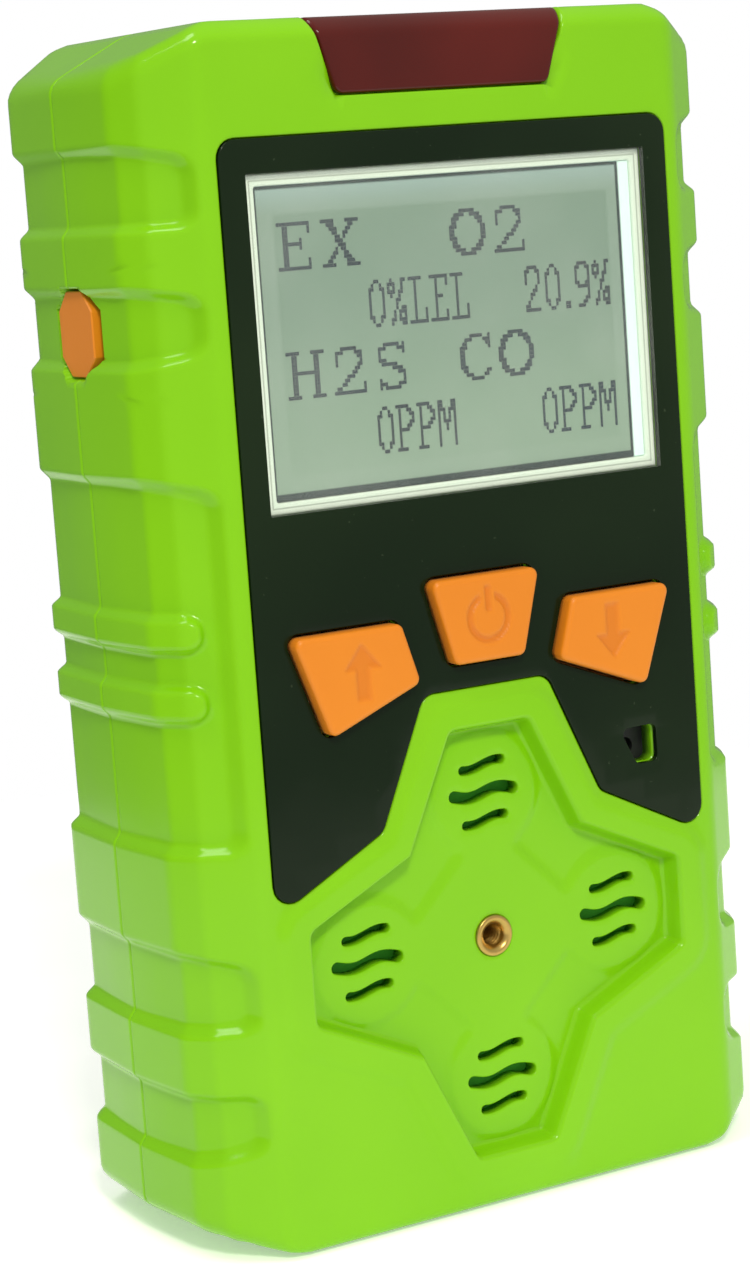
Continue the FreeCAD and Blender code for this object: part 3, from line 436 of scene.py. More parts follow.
def plug_outline(grow):
    """The port's eight-sided outline in (y, z)."""
    a, b, c = plug_half_y, plug_half_z, plug_corner
    corners = ((c - a, -b), (a - c, -b), (a, c - b), (a, b - c),
               (a - c, b), (c - a, b), (-a, b - c), (-a, c - b))
    return moved_out(np.array(corners) + (plug_y, plug_z), grow)


def shell_distance(x, y, z):
    """The plain case less its bands, the lens seat on the top edge, the port's pocket on the left
    and a fine groove along the parting line."""
    lens_side = lens_half_low + lens_slope * np.clip(z - lens_low, 0.0, case_height - lens_low)
    seat = np.maximum(np.maximum(np.abs(x) - lens_side, lens_low - z), y - lens_reach)
    pocket = np.where(x < left_limit, polygon_distance(y, z, plug_outline(plug_gap)), np.inf)
    groove = np.clip(1.0 - np.abs(y - parting) / groove_half, 0.0, 1.0)
    return (plain_case(x, y, z) + band_depth * band_mask(x, z) + lens_seat * step(-seat, -0.24, -0.06)
            + plug_pocket * step(-pocket, -0.3, 0.0) + groove_depth * groove)


def cast(distance, origins, ways):
    """Where rays from inside leave the surface: the stretch that holds it is halved many times."""
    near, far = np.zeros(len(origins)), np.full(len(origins), ray_reach)
    for _ in range(halvings):
        middle = 0.5 * (near + far)
        outside = distance(*(origins + ways * middle[:, None]).T) > 0.0
        near, far = np.where(outside, near, middle), np.where(outside, middle, far)
    return origins + ways * (0.5 * (near + far))[:, None]


def perimeter():
    """The core rectangle's edge, counter-clockwise from its lower right corner, as points with
    outward directions: finer where a band, the lens or the port crosses, a fan at each corner."""
    edges = [value for low, high, *_ in recesses for value in (low, high)]
    edges += [centre + sign * rib_half for centre in rib_centres for sign in (1, -1)]
    level = np.linspace(core_low, core_high, 4000)
    dense = 1.0 + 2.2 * sum(np.exp(-((level - edge) / 1.1) ** 2) for edge in edges)
    left_dense = dense + 3.0 * np.exp(-((np.abs(level - plug_z) - 3.2) / 1.3) ** 2)

    def spread(weight, count):
        total = np.cumsum(weight)
        return np.interp(np.linspace(total[0], total[-1], count + 1), total, level)[:-1]

    right = [(core_half, z, 1.0, 0.0) for z in spread(dense, right_columns)]
    left = [(-core_half, z, -1.0, 0.0) for z in spread(left_dense, left_columns)][::-1]
    lens_edge = lens_front[0][0]
    offsets = np.array((-1.2, -0.6, -0.25, 0.0, 0.06, 0.15, 0.24, 0.4, 0.8, 1.4))
    offsets *= math.hypot(1.0, lens_slope)
    half = np.concatenate((np.linspace(0.0, lens_edge - 2.2, 12)[1:], lens_edge + offsets,
                           np.linspace(lens_edge + 2.4, core_half, 12)))
    across = np.concatenate((-half[::-1], (0.0,), half))
    fading = np.sign(across) * step(-np.abs(across), -core_half, -lens_edge - 1.4) * 1.1
    lean = lens_slope * np.where(np.abs(across) < lens_edge + 1.5, across / lens_edge, fading)
    top = [(x, core_high, way, 1.0) for x, way in zip(across[::-1], lean[::-1])]
    bottom = [(x, core_low, 0.0, -1.0) for x in np.linspace(-core_half, core_half, bottom_columns)]
    turns = np.linspace(0.0, 0.5 * math.pi, fan_columns + 1)[1:-1]
    fans = [[(x, z, math.cos(t + start), math.sin(t + start)) for t in turns]
            for x, z, start in ((core_half, core_high, 0.0), (-core_half, core_high, 0.5 * math.pi),
                                (-core_half, core_low, math.pi), (core_half, core_low, 1.5 * math.pi))]
    return np.array(right + [(core_half, core_high, 1.0, 0.0)] + fans[0] + top + fans[1]
                    + [(-core_half, core_high, -1.0, 0.0)] + left + fans[2] + bottom + fans[3])


def core_rim(ring):
    """The core rectangle's edge without the points that a fan repeats."""
    first = np.unique(np.round(ring[:, :2], 6), axis=0, return_index=True)[1]
    return ring[np.sort(first), :2]


def skirt(distance, side, rows):
    """The shell outside its core: from the parting plane, rays turn from the front (or back) to
    straight out, and each column's rays are spread evenly along the surface."""
    ring = perimeter()
    outward = ring[:, 2:] / np.hypot(ring[:, 2], ring[:, 3])[:, None]
    origins = np.stack((ring[:, 0], np.full(len(ring), parting + side * parting_gap), ring[:, 1]), 1)

    def shoot(turns):
        ways = np.stack((outward[:, None, 0] * np.sin(turns), np.cos(turns) * side,
                         outward[:, None, 1] * np.sin(turns)), 2)
        starts = np.broadcast_to(origins[:, None], ways.shape)
        return cast(distance, starts.reshape(-1, 3), ways.reshape(-1, 3)).reshape(ways.shape)

    turns = np.tile(np.linspace(0.0, 0.5 * math.pi, first_rays), (len(ring), 1))
    first = shoot(turns)
    length = np.linalg.norm(np.diff(first, axis=1), axis=2)
    middle = 0.5 * (first[:, 1:] + first[:, :-1])
    near_parting = np.exp(-(middle[..., 1] - parting) ** 2 / 0.3)
    at_lens = (np.abs(middle[..., 0]) < lens_half_high + 0.5) & (middle[..., 2] > lens_low)
    near_lens = np.exp(-(middle[..., 1] - lens_reach - 0.15) ** 2 / 0.12) * at_lens
    at_plug = (middle[..., 0] < left_limit) & (np.abs(middle[..., 2] - plug_z) < plug_half_z + 2.0)
    near_plug = np.exp(-(np.abs(middle[..., 1] - plug_y) - plug_half_y + 0.6) ** 2 / 0.8) * at_plug
    weight = np.cumsum(length * (1.0 + 4.0 * near_parting + 6.0 * near_lens + 3.0 * near_plug), axis=1)
    weight = np.hstack((np.zeros((len(ring), 1)), weight))
    wanted = np.linspace(0.0, 1.0, rows)
    even = np.array([np.interp(wanted * w[-1], w, t) for w, t in zip(weight, turns)])
    return ring, shoot(even)


def grid_faces(columns, rows, closed=True):
    """Quads over a grid of columns, each of so many rows; the last column joins the first."""
    column = np.arange(columns if closed else columns - 1)[:, None]
    row = np.arange(rows - 1)[None, :]
    ahead = (column + 1) % columns
    quads = np.stack((column * rows + row, ahead * rows + row, ahead * rows + row + 1,
                      column * rows + row + 1), 2)
    return quads.reshape(-1, 4).tolist()


def joined(*parts):
    """Several (points, faces) pairs as one."""
    points, faces, start = [], [], 0
    for some, corners in parts:
        points.append(np.reshape(some, (-1, 3)))
        faces += [[corner + start for corner in face] for face in corners]
        start += len(points[-1])
    return np.vstack(points), faces


def plate_faces(points, lines, holes, edge):
    """Triangles over flat points, kept inside the edge and outside the holes. Lines are rows of
    points that the triangles follow, each with whether it is closed."""
    everything, segments = [np.asarray(points, float)], []
    start = len(points)
    for line, closed in lines:
        index = np.arange(len(line)) + start
        ahead = np.roll(index, -1)
        segments += np.stack((index, ahead), 1)[:None if closed else -1].tolist()
        everything.append(line)
        start += len(line)
    flat = [Vector(p) for p in np.vstack(everything)]
    made = geometry.delaunay_2d_cdt(flat, segments, [], 0, 1e-6, False)
    spots, faces = np.array([tuple(p) for p in made[0]]), np.array(made[2])
    centre = spots[faces].mean(1)
    keep = polygon_distance(*centre.T, edge) < 0.0
    for hole in holes:
        keep &= polygon_distance(*centre.T, hole) > 0.0
    return spots, faces[keep].tolist()


def slot_outline(x, z, length, width, grow=0.0, steps=15):
    """A wavy slot: a centre line h sin(2 pi t / wave) given a constant width and round ends."""
    t = np.linspace(-0.5, 0.5, steps) * (length - width)
    slope = np.arctan(slot_height * 2.0 * math.pi / slot_wave * np.cos(2.0 * math.pi * t / slot_wave))
    line = np.stack((t, slot_height * np.sin(2.0 * math.pi * t / slot_wave)), 1)
    reach = width / 2.0 + grow
    side = np.stack((np.sin(slope), -np.cos(slope)), 1) * reach
    arc = np.linspace(-0.5 * math.pi, 0.5 * math.pi, 9)[1:-1]
    caps = []
    for end, turn in ((-1, 0.0), (0, math.pi)):
        angles = arc + slope[end] + turn
        caps.append(line[end] + reach * np.stack((np.cos(angles), np.sin(angles)), 1))
    return np.vstack((line + side, caps[0], (line - side)[::-1], caps[1])) + (x, z)


def ring_outline(radius, x=0.0, z=sensor_middle, steps=48):
    """A circle as points."""
    angles = np.linspace(0.0, 2.0 * math.pi, steps, endpoint=False)
    return np.stack((x + radius * np.cos(angles), z + radius * np.sin(angles)), 1)


slots = [(x, z + row * slot_pitch, length, width)
         for x, z in sensor_places for row, length, width in slot_sizes]
star_edge = outline(star, star_round, 0.0, 0.6)
overlay_fine = outline(overlay_edge, overlay_round, overlay_gap)


def front_relief(x, z):
    """How far the front face is sunk: the overlay's pocket, the raised rim round the star, the
    star's floor with its raised plateau and discs, and the soft lips of the slots."""
    in_star = polygon_distance(x, z, star_edge)
    in_overlay = polygon_distance(x, z, overlay_fine)
    rim = -rim_proud * (1.0 - step(in_star, rim_flat, rim_end))
    diamond = (np.abs(x) + np.abs(z - sensor_middle) - plateau_reach) / math.sqrt(2.0)
    plateau = diamond
    for a, b in sensor_places:
        disc = np.hypot(x - a, z - b) - disc_radius
        blend = np.clip(0.5 + 0.5 * (disc - plateau) / disc_blend, 0.0, 1.0)
        plateau = disc * (1.0 - blend) + plateau * blend - disc_blend * blend * (1.0 - blend)
    raised = step(-plateau, -plateau_slope, plateau_slope)
    floor_level = star_floor - (star_floor - plateau_floor) * raised
    depth = rim + (floor_level - rim) * step(-in_star, -0.62, 0.34)
    depth = depth + (pocket_floor - depth) * step(-in_overlay, -0.12, 0.05)
    for slot in slots:
        near = np.hypot(x - slot[0], z - slot[1]) < slot[2]
        away = polygon_distance(x[near], z[near], slot_outline(*slot))
        lip = np.clip(1.0 - away / slot_lip, 0.0, 1.0)
        depth[near] += slot_lip * (1.0 - np.sqrt(1.0 - lip * lip * 0.98))
    thread = np.clip(1.0 - (np.hypot(x, z - sensor_middle) - insert_radius) / insert_lip, 0.0, 1.0)
    return depth + insert_sink * thread * thread


def background(spacing, low, high):
    """Staggered rows of points over the core, between two heights."""
    rows = int((high - low) / spacing) + 1
    z, x = np.mgrid[0:rows, 0:int(2.0 * core_half / spacing)]
    x = (x + 0.5 + 0.25 * (z % 2 * 2 - 1)) * spacing - core_half
    return np.stack((x.ravel(), (z * spacing + low).ravel()), 1)


def close_shell(side, ring, skin, core_points, core_faces, inner_level, hole_rings, inner_holes):
    """Closes a shell: the outer skin and its core, a land at the parting plane, an inner skin one
    wall inside, an inner plate with the same holes, and a wall round each hole."""
    def inside(x, y, z):
        return plain_case(x, y, z) + shell_wall

    columns, rows = skin.shape[:2]
    inner = skirt(inside, side, inner_rows)[1]
    rim_line = core_rim(ring)
    grid = background(4.0, core_low + 2.0, core_high - 1.0)
    spots, flat = plate_faces(grid[np.abs(grid[:, 0]) < core_half - 1.0],
                              [(rim_line, True)] + [(hole, True) for hole in inner_holes],
                              inner_holes, rim_line)
    plate = np.stack((spots[:, 0], inner_level(*spots.T), spots[:, 1]), 1)
    land = np.stack((skin[:, -1], inner[:, -1]), 1)
    walls = [(rings.transpose(1, 0, 2), grid_faces(rings.shape[1], rings.shape[0])) for rings in hole_rings]
    points, faces = joined((skin, grid_faces(columns, rows)), (core_points, core_faces),
                           (inner, grid_faces(columns, inner_rows)), (land, grid_faces(columns, 2)),
                           (plate, flat), *walls)
    return points + (0.0, front_plane, 0.0), faces


lime = moulded("lime_abs", (119, 185, 11), (123, 189, 14), 0.17, 1300.0, 0.000004, IOR=1.45,
               Specular_IOR_Level=0.3)


def lens_line(grow):
    """The lens seat's edge on the front, moved out by grow, its lower corners turned by arcs."""
    corners = moved_out(lens_front, (0.0, grow, grow, grow))
    reach = max(lens_corner + grow, 0.3)
    lean = math.atan(lens_slope)
    arc = np.linspace(math.pi + lean, 1.5 * math.pi, 6)
    centre = corners[2] + (reach * math.tan(0.25 * math.pi + 0.5 * lean) * 0.86, reach)
    left_arc = centre + reach * np.stack((np.cos(arc), np.sin(arc)), 1)
    return np.vstack((corners[1], left_arc, (left_arc * (-1.0, 1.0))[::-1], corners[0]))


def away_from(points, corners, least):
    """Which points are further than least from a closed polygon's edge."""
    return np.abs(polygon_distance(*points.T, corners)) > least


ring, skin = skirt(shell_distance, -1.0, 54)
rim_line = core_rim(ring)
lines = [(rim_line, True)]
lines += [(outline(overlay_edge, overlay_round, overlay_gap + g), True)
          for g in (-0.3, -0.05, 0.035, 0.12, 0.3)]
lines += [(outline(star, star_round, g, 0.9), True) for g in (-0.62, -0.34, -0.12, 0.1, 0.32, 0.62, 0.9)]
lines += [(lens_line(g), False) for g in (-0.25, 0.0, 0.06, 0.15, 0.24, 0.4)]
slot_rings = [[slot_outline(*slot, grow=g) for g in (0.0, 0.04, 0.12, slot_lip)] for slot in slots]
lines += [(row, True) for rings in slot_rings for row in rings]
lines += [(ring_outline(insert_radius + g), True) for g in (0.0, 0.05, insert_lip)]
window = rectangle(-display_half - key_gap, display_half + key_gap,
                   display_low - key_gap, display_high + key_gap)
key_holes = [outline(corners, key_round, key_gap, 3.0) for corners in keys.values()]
plain_holes = [outline(window, 0.2, 0.0, 3.0, 3), outline(sound_hole, sound_round)] + key_holes
lines += [(row, True) for row in plain_holes]
coarse, dense = background(1.5, core_low + 1.0, core_high), background(0.55, 4.0, 57.0)
star_away = polygon_distance(*dense.T, star_edge)
dense = dense[(star_away < 5.0) & (np.abs(star_away - 0.1) > 0.95) & (np.abs(dense[:, 0]) < core_half - 0.4)
              & away_from(dense, overlay_fine, 0.5)]
coarse = coarse[(polygon_distance(*coarse.T, star_edge) >= 5.0) & (np.abs(coarse[:, 0]) < core_half - 0.7)
                & away_from(coarse, overlay_fine, 0.6)]
loose = np.vstack((coarse, dense))
for slot in slots:
    loose = loose[polygon_distance(*loose.T, slot_outline(*slot)) > slot_lip + 0.15]
loose = loose[np.hypot(loose[:, 0], loose[:, 1] - sensor_middle) > insert_radius + 0.4]
loose = loose[away_from(loose, lens_front, 0.6)]
open_holes = [rings[0] for rings in slot_rings] + [ring_outline(insert_radius)] + plain_holes
spots, faces = plate_faces(loose, lines, open_holes, rim_line)


def front_level(x, z):
    """The front face's depth at (x, z), with its relief."""
    origins = np.stack((x, np.full(len(x), parting - parting_gap), z), 1)
    ways = np.broadcast_to((0.0, -1.0, 0.0), origins.shape)
    return cast(shell_distance, origins, ways)[:, 1] + front_relief(x, z)


def hole_wall(line, level, depths, inner):
    """Rows of points down a hole's wall, from the face to the inner plate."""
    top, bottom = level(*line.T), inner(*line.T)
    depth = top + (bottom - top) * np.array(depths)[:, None]
    return np.stack((np.broadcast_to(line[:, 0], depth.shape), depth,
                     np.broadcast_to(line[:, 1], depth.shape)), 2)


def front_inner(x, z):
    """The inner face of the front shell: thicker behind the sensors."""
    return shell_wall + sensor_wall * step(-polygon_distance(x, z, star), -2.0, -1.0)


core_points = np.stack((spots[:, 0], front_level(*spots.T), spots[:, 1]), 1)
walls = [hole_wall(line, front_level, (0.0, 0.15, 1.0), front_inner) for line in open_holes]
points, faces = close_shell(-1.0, ring, skin, core_points, faces, front_inner, walls, open_holes)
fit(piece("front_case", points, faces, lime), "front_shell", "case")

# Rear shell: the other half of the same mould, plain on its flat back but for four deep cups
# with the case screws at their bottoms.
screw_low, screw_high = (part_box("case_screws")[k] / millimetre for k in (0, 1))
screw_head, screw_head_height, screw_socket = 2.5, 2.0, 1.4
cup_radius, cup_lip, cup_wall, boss_radius = 2.8, 0.35, 1.0, 3.3
cup_x = screw_high.x - screw_head
cup_heights = (screw_low.z + screw_head, screw_high.z - screw_head)
cup_floor = screw_high.y - front_plane - screw_head_height
cups = [(sign * cup_x, height) for sign in (1, -1) for height in cup_heights]


def turned(place, rows, steps=48):
    """Rings round an axis along y: a row of (radius, depth) pairs turned about the place."""
    radii, depths = np.array(rows).T[:, :, None]
    circle = ring_outline(1.0, 0.0, 0.0, steps).T
    return np.stack((place[0] + radii * circle[0], np.broadcast_to(depths, (len(rows), steps)),
                     place[1] + radii * circle[1]), 2)


def back_relief(x, z):
    """How far the back is sunk: only a rounded lip at each cup."""
    sunk = np.zeros(len(x))
    for a, b in cups:
        lip = np.clip(1.0 - (np.hypot(x - a, z - b) - cup_radius) / cup_lip, 0.0, 1.0)
        sunk += cup_lip * (1.0 - np.sqrt(1.0 - 0.98 * lip * lip))
    return sunk


ring, skin = skirt(shell_distance, 1.0, 48)
rim_line = core_rim(ring)
lines = [(rim_line, True)]
lines += [(ring_outline(cup_radius + g, a, b), True) for a, b in cups for g in (0.0, 0.05, 0.15, cup_lip)]
loose = background(1.8, core_low + 1.2, core_high)
loose = loose[np.abs(loose[:, 0]) < core_half - 0.8]
for a, b in cups:
    loose = loose[np.hypot(loose[:, 0] - a, loose[:, 1] - b) > cup_radius + 1.0]
cup_holes = [ring_outline(cup_radius, a, b) for a, b in cups]
boss_holes = [ring_outline(boss_radius, a, b) for a, b in cups]
spots, faces = plate_faces(loose, lines, cup_holes, rim_line)
origins = np.stack((spots[:, 0], np.full(len(spots), parting + parting_gap), spots[:, 1]), 1)
core_points = cast(shell_distance, origins, np.broadcast_to((0.0, 1.0, 0.0), origins.shape))
core_points[:, 1] -= back_relief(*spots.T)
inner_back = case_depth - shell_wall
cup_top = case_depth - back_relief(*(np.array([cups[0]]) + (cup_radius, 0.0)).T)[0]
boss_end = cup_floor - cup_wall
walls = [turned(place, ((cup_radius, cup_top), (cup_radius, cup_floor), (screw_socket, cup_floor),
                        (0.0, cup_floor))) for place in cups]
walls += [turned(place, ((boss_radius, inner_back), (boss_radius, boss_end), (0.0, boss_end)))
          for place in cups]
points, faces = close_shell(1.0, ring, skin, core_points, faces,
                            lambda x, z: np.full(len(x), inner_back), walls, boss_holes)
fit(piece("rear_case", points, faces, lime), "rear_shell", "case")

# Alarm lens: a block of deep red polycarbonate set into the front shell's top edge, flush with
# it. It wraps from the front face over the bevel on to the top, and tapers downwards.
lens_edge_round, lens_block, lens_sink = 0.4, 1.25, 0.02
columns, rows = 61, 56
ruby = moulded("ruby_lens", (66, 13, 9), (84, 19, 13), 0.14, 400.0, 0.000004, IOR=1.4,
               Specular_IOR_Level=0.35)
angles = np.linspace(0.0, 0.5 * math.pi, 400)
path = cast(plain_case, np.tile((0.0, lens_reach, lens_low), (len(angles), 1)),
            np.stack((0.0 * angles, -np.cos(angles), np.sin(angles)), 1))[:, 1:]
run = np.concatenate(((0.0,), np.cumsum(np.hypot(*np.diff(path, axis=0).T))))
wanted = 0.5 - 0.5 * np.cos(np.linspace(0.0, math.pi, rows))
wanted = run[-1] * (0.55 * wanted + 0.45 * np.linspace(0.0, 1.0, rows))
path = np.stack([np.interp(wanted, run, path[:, k]) for k in (0, 1)], 1)
tangent = np.gradient(path, axis=0)
inward = np.stack((tangent[:, 1], -tangent[:, 0]), 1) / np.hypot(*tangent.T)[:, None]
half = lens_half_low + lens_slope * (path[:, 1] - lens_low)
corner = np.clip(lens_corner - wanted, 0.0, lens_corner)
half -= lens_corner - np.sqrt(lens_corner ** 2 - corner ** 2)
across = np.sin(np.linspace(-0.5 * math.pi, 0.5 * math.pi, columns))[:, None]
across = 0.6 * across + 0.4 * np.linspace(-1.0, 1.0, columns)[:, None]
edge = np.minimum(half * (1.0 - np.abs(across)), np.minimum(wanted, run[-1] - wanted))
edge = np.clip(1.0 - edge / lens_edge_round, 0.0, 1.0)
sink = lens_edge_round * (1.0 - np.sqrt(1.0 - 0.99 * edge * edge)) + lens_sink


def layer(sunk):
    """The lens surface sunk along its inward normal: (v half(s), path(s) + n(s) sunk)."""
    place = path + inward * np.asarray(sunk)[..., None]
    return np.stack((np.broadcast_to(across * half, place.shape[:2]), place[..., 0] + front_plane,
                     place[..., 1]), 2)


def closed_block(outer, inner):
    """Two grids of the same size joined round their edges into one closed block."""
    columns, rows = outer.shape[:2]
    grid = grid_faces(columns, rows, False)
    points, faces = joined((outer, grid), (inner, grid))
    index = np.arange(columns * rows).reshape(columns, rows)
    loop = np.concatenate((index[:, 0], index[-1, 1:], index[-2::-1, -1], index[0, -2:0:-1]))
    ahead = np.roll(loop, -1)
    faces += np.stack((loop, ahead, ahead + columns * rows, loop + columns * rows), 1).tolist()
    return points, faces


lens = closed_block(layer(sink), layer(np.full(sink.shape, lens_block)))
fit(piece("ruby_lens_block", *lens, ruby), "alarm_lens", "case")

# Overlay: one sheet of glossy, near-black polycarbonate, glued into a pocket in the front face.
# It is cut out for the display, the three keys and the buzzer's sound hole.
overlay_sheet, overlay_fillet = 0.7, 0.14


def slab(edge, radius, holes, top, bottom, fillet, spacing, relief=None):
    """A plate between two depths. Its front edge is rounded: at distance d from the edge it is sunk
    by r (1 - sqrt(1 - (1 - d / r) ** 2)). Holes are (corners, radius) pairs; relief adds to it."""
    shrink = (0.0, 0.07, 0.3, 0.65, 1.0)
    rows = [outline(edge, radius, -share * fillet, spacing) for share in shrink]
    cut = [[outline(corners, r, share * fillet, spacing) for share in shrink] for corners, r in holes]
    low, high = np.min(edge, axis=0), np.max(edge, axis=0)
    z, x = np.mgrid[low[1]:high[1]:spacing, low[0]:high[0]:spacing]
    loose = np.stack((x.ravel(), z.ravel()), 1)
    clear = fillet + 0.3 * spacing
    loose = loose[polygon_distance(*loose.T, rows[0]) < -clear]
    for lines in cut:
        loose = loose[polygon_distance(*loose.T, lines[0]) > clear]
    lines = [(row, True) for row in rows] + [(row, True) for lines in cut for row in lines]
    spots, flat = plate_faces(loose, lines, [lines[0] for lines in cut], rows[0])

    def level(x, z):
        away = -polygon_distance(x, z, rows[0])
        for lines in cut:
            away = np.minimum(away, polygon_distance(x, z, lines[0]))
        lift = np.clip(1.0 - away / fillet, 0.0, 1.0)
        sunk = fillet * (1.0 - np.sqrt(1.0 - 0.99 * lift * lift))
        return top + sunk + (relief(x, z) if relief else 0.0)

    front = np.stack((spots[:, 0], level(*spots.T), spots[:, 1]), 1)
    back = front * (1.0, 0.0, 1.0) + (0.0, bottom, 0.0)
    parts = [(front, flat), (back, flat)]
    for row in [rows[0]] + [lines[0] for lines in cut]:
        wall = np.stack((np.stack((row[:, 0], level(*row.T), row[:, 1]), 1),
                         np.stack((row[:, 0], np.full(len(row), bottom), row[:, 1]), 1)), 1)
        parts.append((wall, grid_faces(len(row), 2)))
    points, faces = joined(*parts)
    return points + (0.0, front_plane, 0.0), faces


smoked = Finish("smoked_overlay", IOR=1.24)
smudge = smoked.noise(60.0, 4.0).ramp(0.45, 0.75)
dust = smoked.noise(1400.0, 1.0).ramp(0.76, 0.84)
smoke = smoked.mix(smoked.noise(22.0, 2.0).ramp(0.35, 0.7), linear(12, 27, 10), linear(22, 37, 17))
smoked.feed(Base_Color=smoked.mix(dust * 0.2, smoke, linear(84, 98, 74)),
            Roughness=smudge * 0.12 + dust * 0.3 + 0.12)
display_box, display_round = rectangle(-display_half, display_half, display_low, display_high), 0.15
key_cuts = [(moved_out(corners, key_gap), key_round + key_gap) for corners in keys.values()]
overlay_holes = [(display_box, display_round), (sound_hole, sound_round)] + key_cuts
overlay = slab(overlay_edge, overlay_round, overlay_holes, overlay_front, overlay_front + overlay_sheet,
               overlay_fillet, 2.5)
fit(piece("overlay_sheet", *overlay, smoked), "panel_overlay", "case")

# Display window: a clear acrylic pane, flush with the overlay, in front of the white frame.
clear = Finish("clear_window", IOR=1.3, Roughness=0.06, Base_Color=(0.9, 0.95, 0.92, 1.0))
haze = clear.noise(90.0, 3.0)
clear.feed(Alpha=haze.ramp(0.3, 0.8) * 0.03 + 0.03)
dress(clear, "display_window")

# Display frame: a white moulded surround that holds the glass and its light guide.
white = moulded("white_frame_plastic", (226, 238, 222), (226, 238, 222), 0.35)
frame_wall, frame_step, step_shade_width, step_soft = 1.25, 0.6, 0.16, 0.03
frame_depth, frame_fillet, frame_inner_round = 5.0, 0.25, 0.3
frame_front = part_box("display_frame")[0].y / millimetre - front_plane
frame_hole = moved_out(display_box, -frame_wall)


def within(value, low, high, soft):
    """1 between two places and 0 outside them, in millimetres, with soft ends."""
    rise = value.ramp((low - soft) * millimetre, (low + soft) * millimetre)
    return rise * (1.0 - value.ramp((high - soft) * millimetre, (high + soft) * millimetre))


def inside_display(finish, inset, soft):
    """1 further than inset from the display's edges and 0 nearer them."""
    return (within(finish.along(0), inset - display_half, display_half - inset, soft)
            * within(finish.along(2), display_low + inset, display_high - inset, soft))


# Painted shade: a thin grey line is painted round the frame 0.6 mm in from its outer edge, as the shade of a
# step that the mesh doesn't have.
lip = inside_display(white, frame_step, step_soft)
inner_lip = inside_display(white, frame_step + step_shade_width, step_soft)
frame_tone_with_step_shade = white.mix(lip, white.tone, linear(172, 184, 168))
white.feed(Base_Color=white.mix(inner_lip, frame_tone_with_step_shade, linear(216, 231, 214)))
surround = slab(display_box, display_round, [(frame_hole, frame_inner_round)], frame_front,
                frame_front + frame_depth, frame_fillet, 2.0)
fit(piece("display_surround", *surround, white), "display_frame", "case")

# Display glass: a grey-green liquid crystal panel, darker inside its active area, with a bright
# slip of its light guide showing along the right edge.
glass_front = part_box("display_glass")[0].y / millimetre - front_plane
glass_left, glass_right, strip_left, strip_right = -23.3, 21.9, 21.95, 23.3
glass_inset, glass_sheet, glass_round, strip_proud = 1.3, 1.8, 0.1, 0.05
glass_low, glass_high = display_low + glass_inset, display_high - glass_inset
shade_left, shade_right, shade_low, shade_high = 0.2, 0.4, 0.75, 0.35
active_left, active_right, active_low, active_high = -21.3, 20.2, 83.0, 109.9
crystal = Finish("liquid_crystal", Roughness=0.28, IOR=1.4)
along, height = crystal.along(0), crystal.along(2)
active = within(along, active_left, active_right, 0.25) * within(height, active_low, active_high, 0.25)
# Painted shadow: a dark line round the glass's edges, widest along the bottom.
glass_edge_shadow = 1.0 - (within(along, glass_left + shade_left, glass_right - shade_right, 0.08)
                * within(height, glass_low + shade_low, glass_high - shade_high, 0.12))
cloud = crystal.noise(30.0, 2.0).ramp(0.25, 0.75)
# Painted light: the panel is painted lighter towards its bottom, and lighter and bluer in a band along its
# top.
low_glow = 1.0 - height.ramp(0.083, 0.104)
tone = crystal.mix(cloud, linear(125, 147, 133), linear(130, 152, 136))
tone = crystal.mix(active * 0.75, tone, linear(111, 136, 119))
tone = crystal.mix(low_glow * 0.55, tone, linear(140, 164, 142))
tone = crystal.mix(height.ramp(0.1095, 0.1135) * 0.8, tone, linear(150, 174, 172))
crystal.feed(Base_Color=crystal.mix(glass_edge_shadow, tone, linear(26, 46, 46)))
glass = slab(rectangle(glass_left, glass_right, glass_low, glass_high), glass_round, [], glass_front,
             glass_front + glass_sheet, 0.12, 3.0)
fit(piece("display_panel", *glass, crystal), "display_glass", "case")

# Painted light: the light guide's finish glows a little, which keeps the strip white; the backlight part
# gets the same finish.
guide = moulded("light_guide", (208, 232, 224), (214, 236, 229), 0.3, Emission_Strength=0.2)
guide.shader.inputs["Emission Color"].default_value = linear(196, 236, 226)
strip = slab(rectangle(strip_left, strip_right, glass_low, glass_high), glass_round, [],
             glass_front - strip_proud, glass_front + glass_sheet, 0.15, 3.0)
strip = piece("guide_strip", *strip, guide)
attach(strip, "case")
dress(guide, "display_backlight")

# Readout: the dark dots of the panel, 128 across and 64 down. Each sign is drawn with pen
# strokes in its own cell of 16 or 8 dots, and the dots under the strokes are on.
dot_pitch = (0.325, 0.4146)
dots_left, dots_top = active_left, active_high
dot_fill, dot_rise = 0.94, 0.02


def stroke(*corners):
    """A straight pen line through corners, as points under a third of a dot apart."""
    corners, share = np.array(corners, float), np.linspace(0.0, 1.0, 40)[:, None]
    return np.vstack([a + (b - a) * share for a, b in zip(corners, corners[1:])])


def bow(x, y, wide, high, start=0.0, end=360.0):
    """A pen line round an ellipse: (x + w cos t, y - h sin t), t in degrees, dots down the cell."""
    t = np.radians(np.linspace(start, end, 90))
    return np.stack((x + wide * np.cos(t), y - high * np.sin(t)), 1)


def serif(*places):
    return [stroke((x - 2, y), (x + 2, y)) for x, y in places]


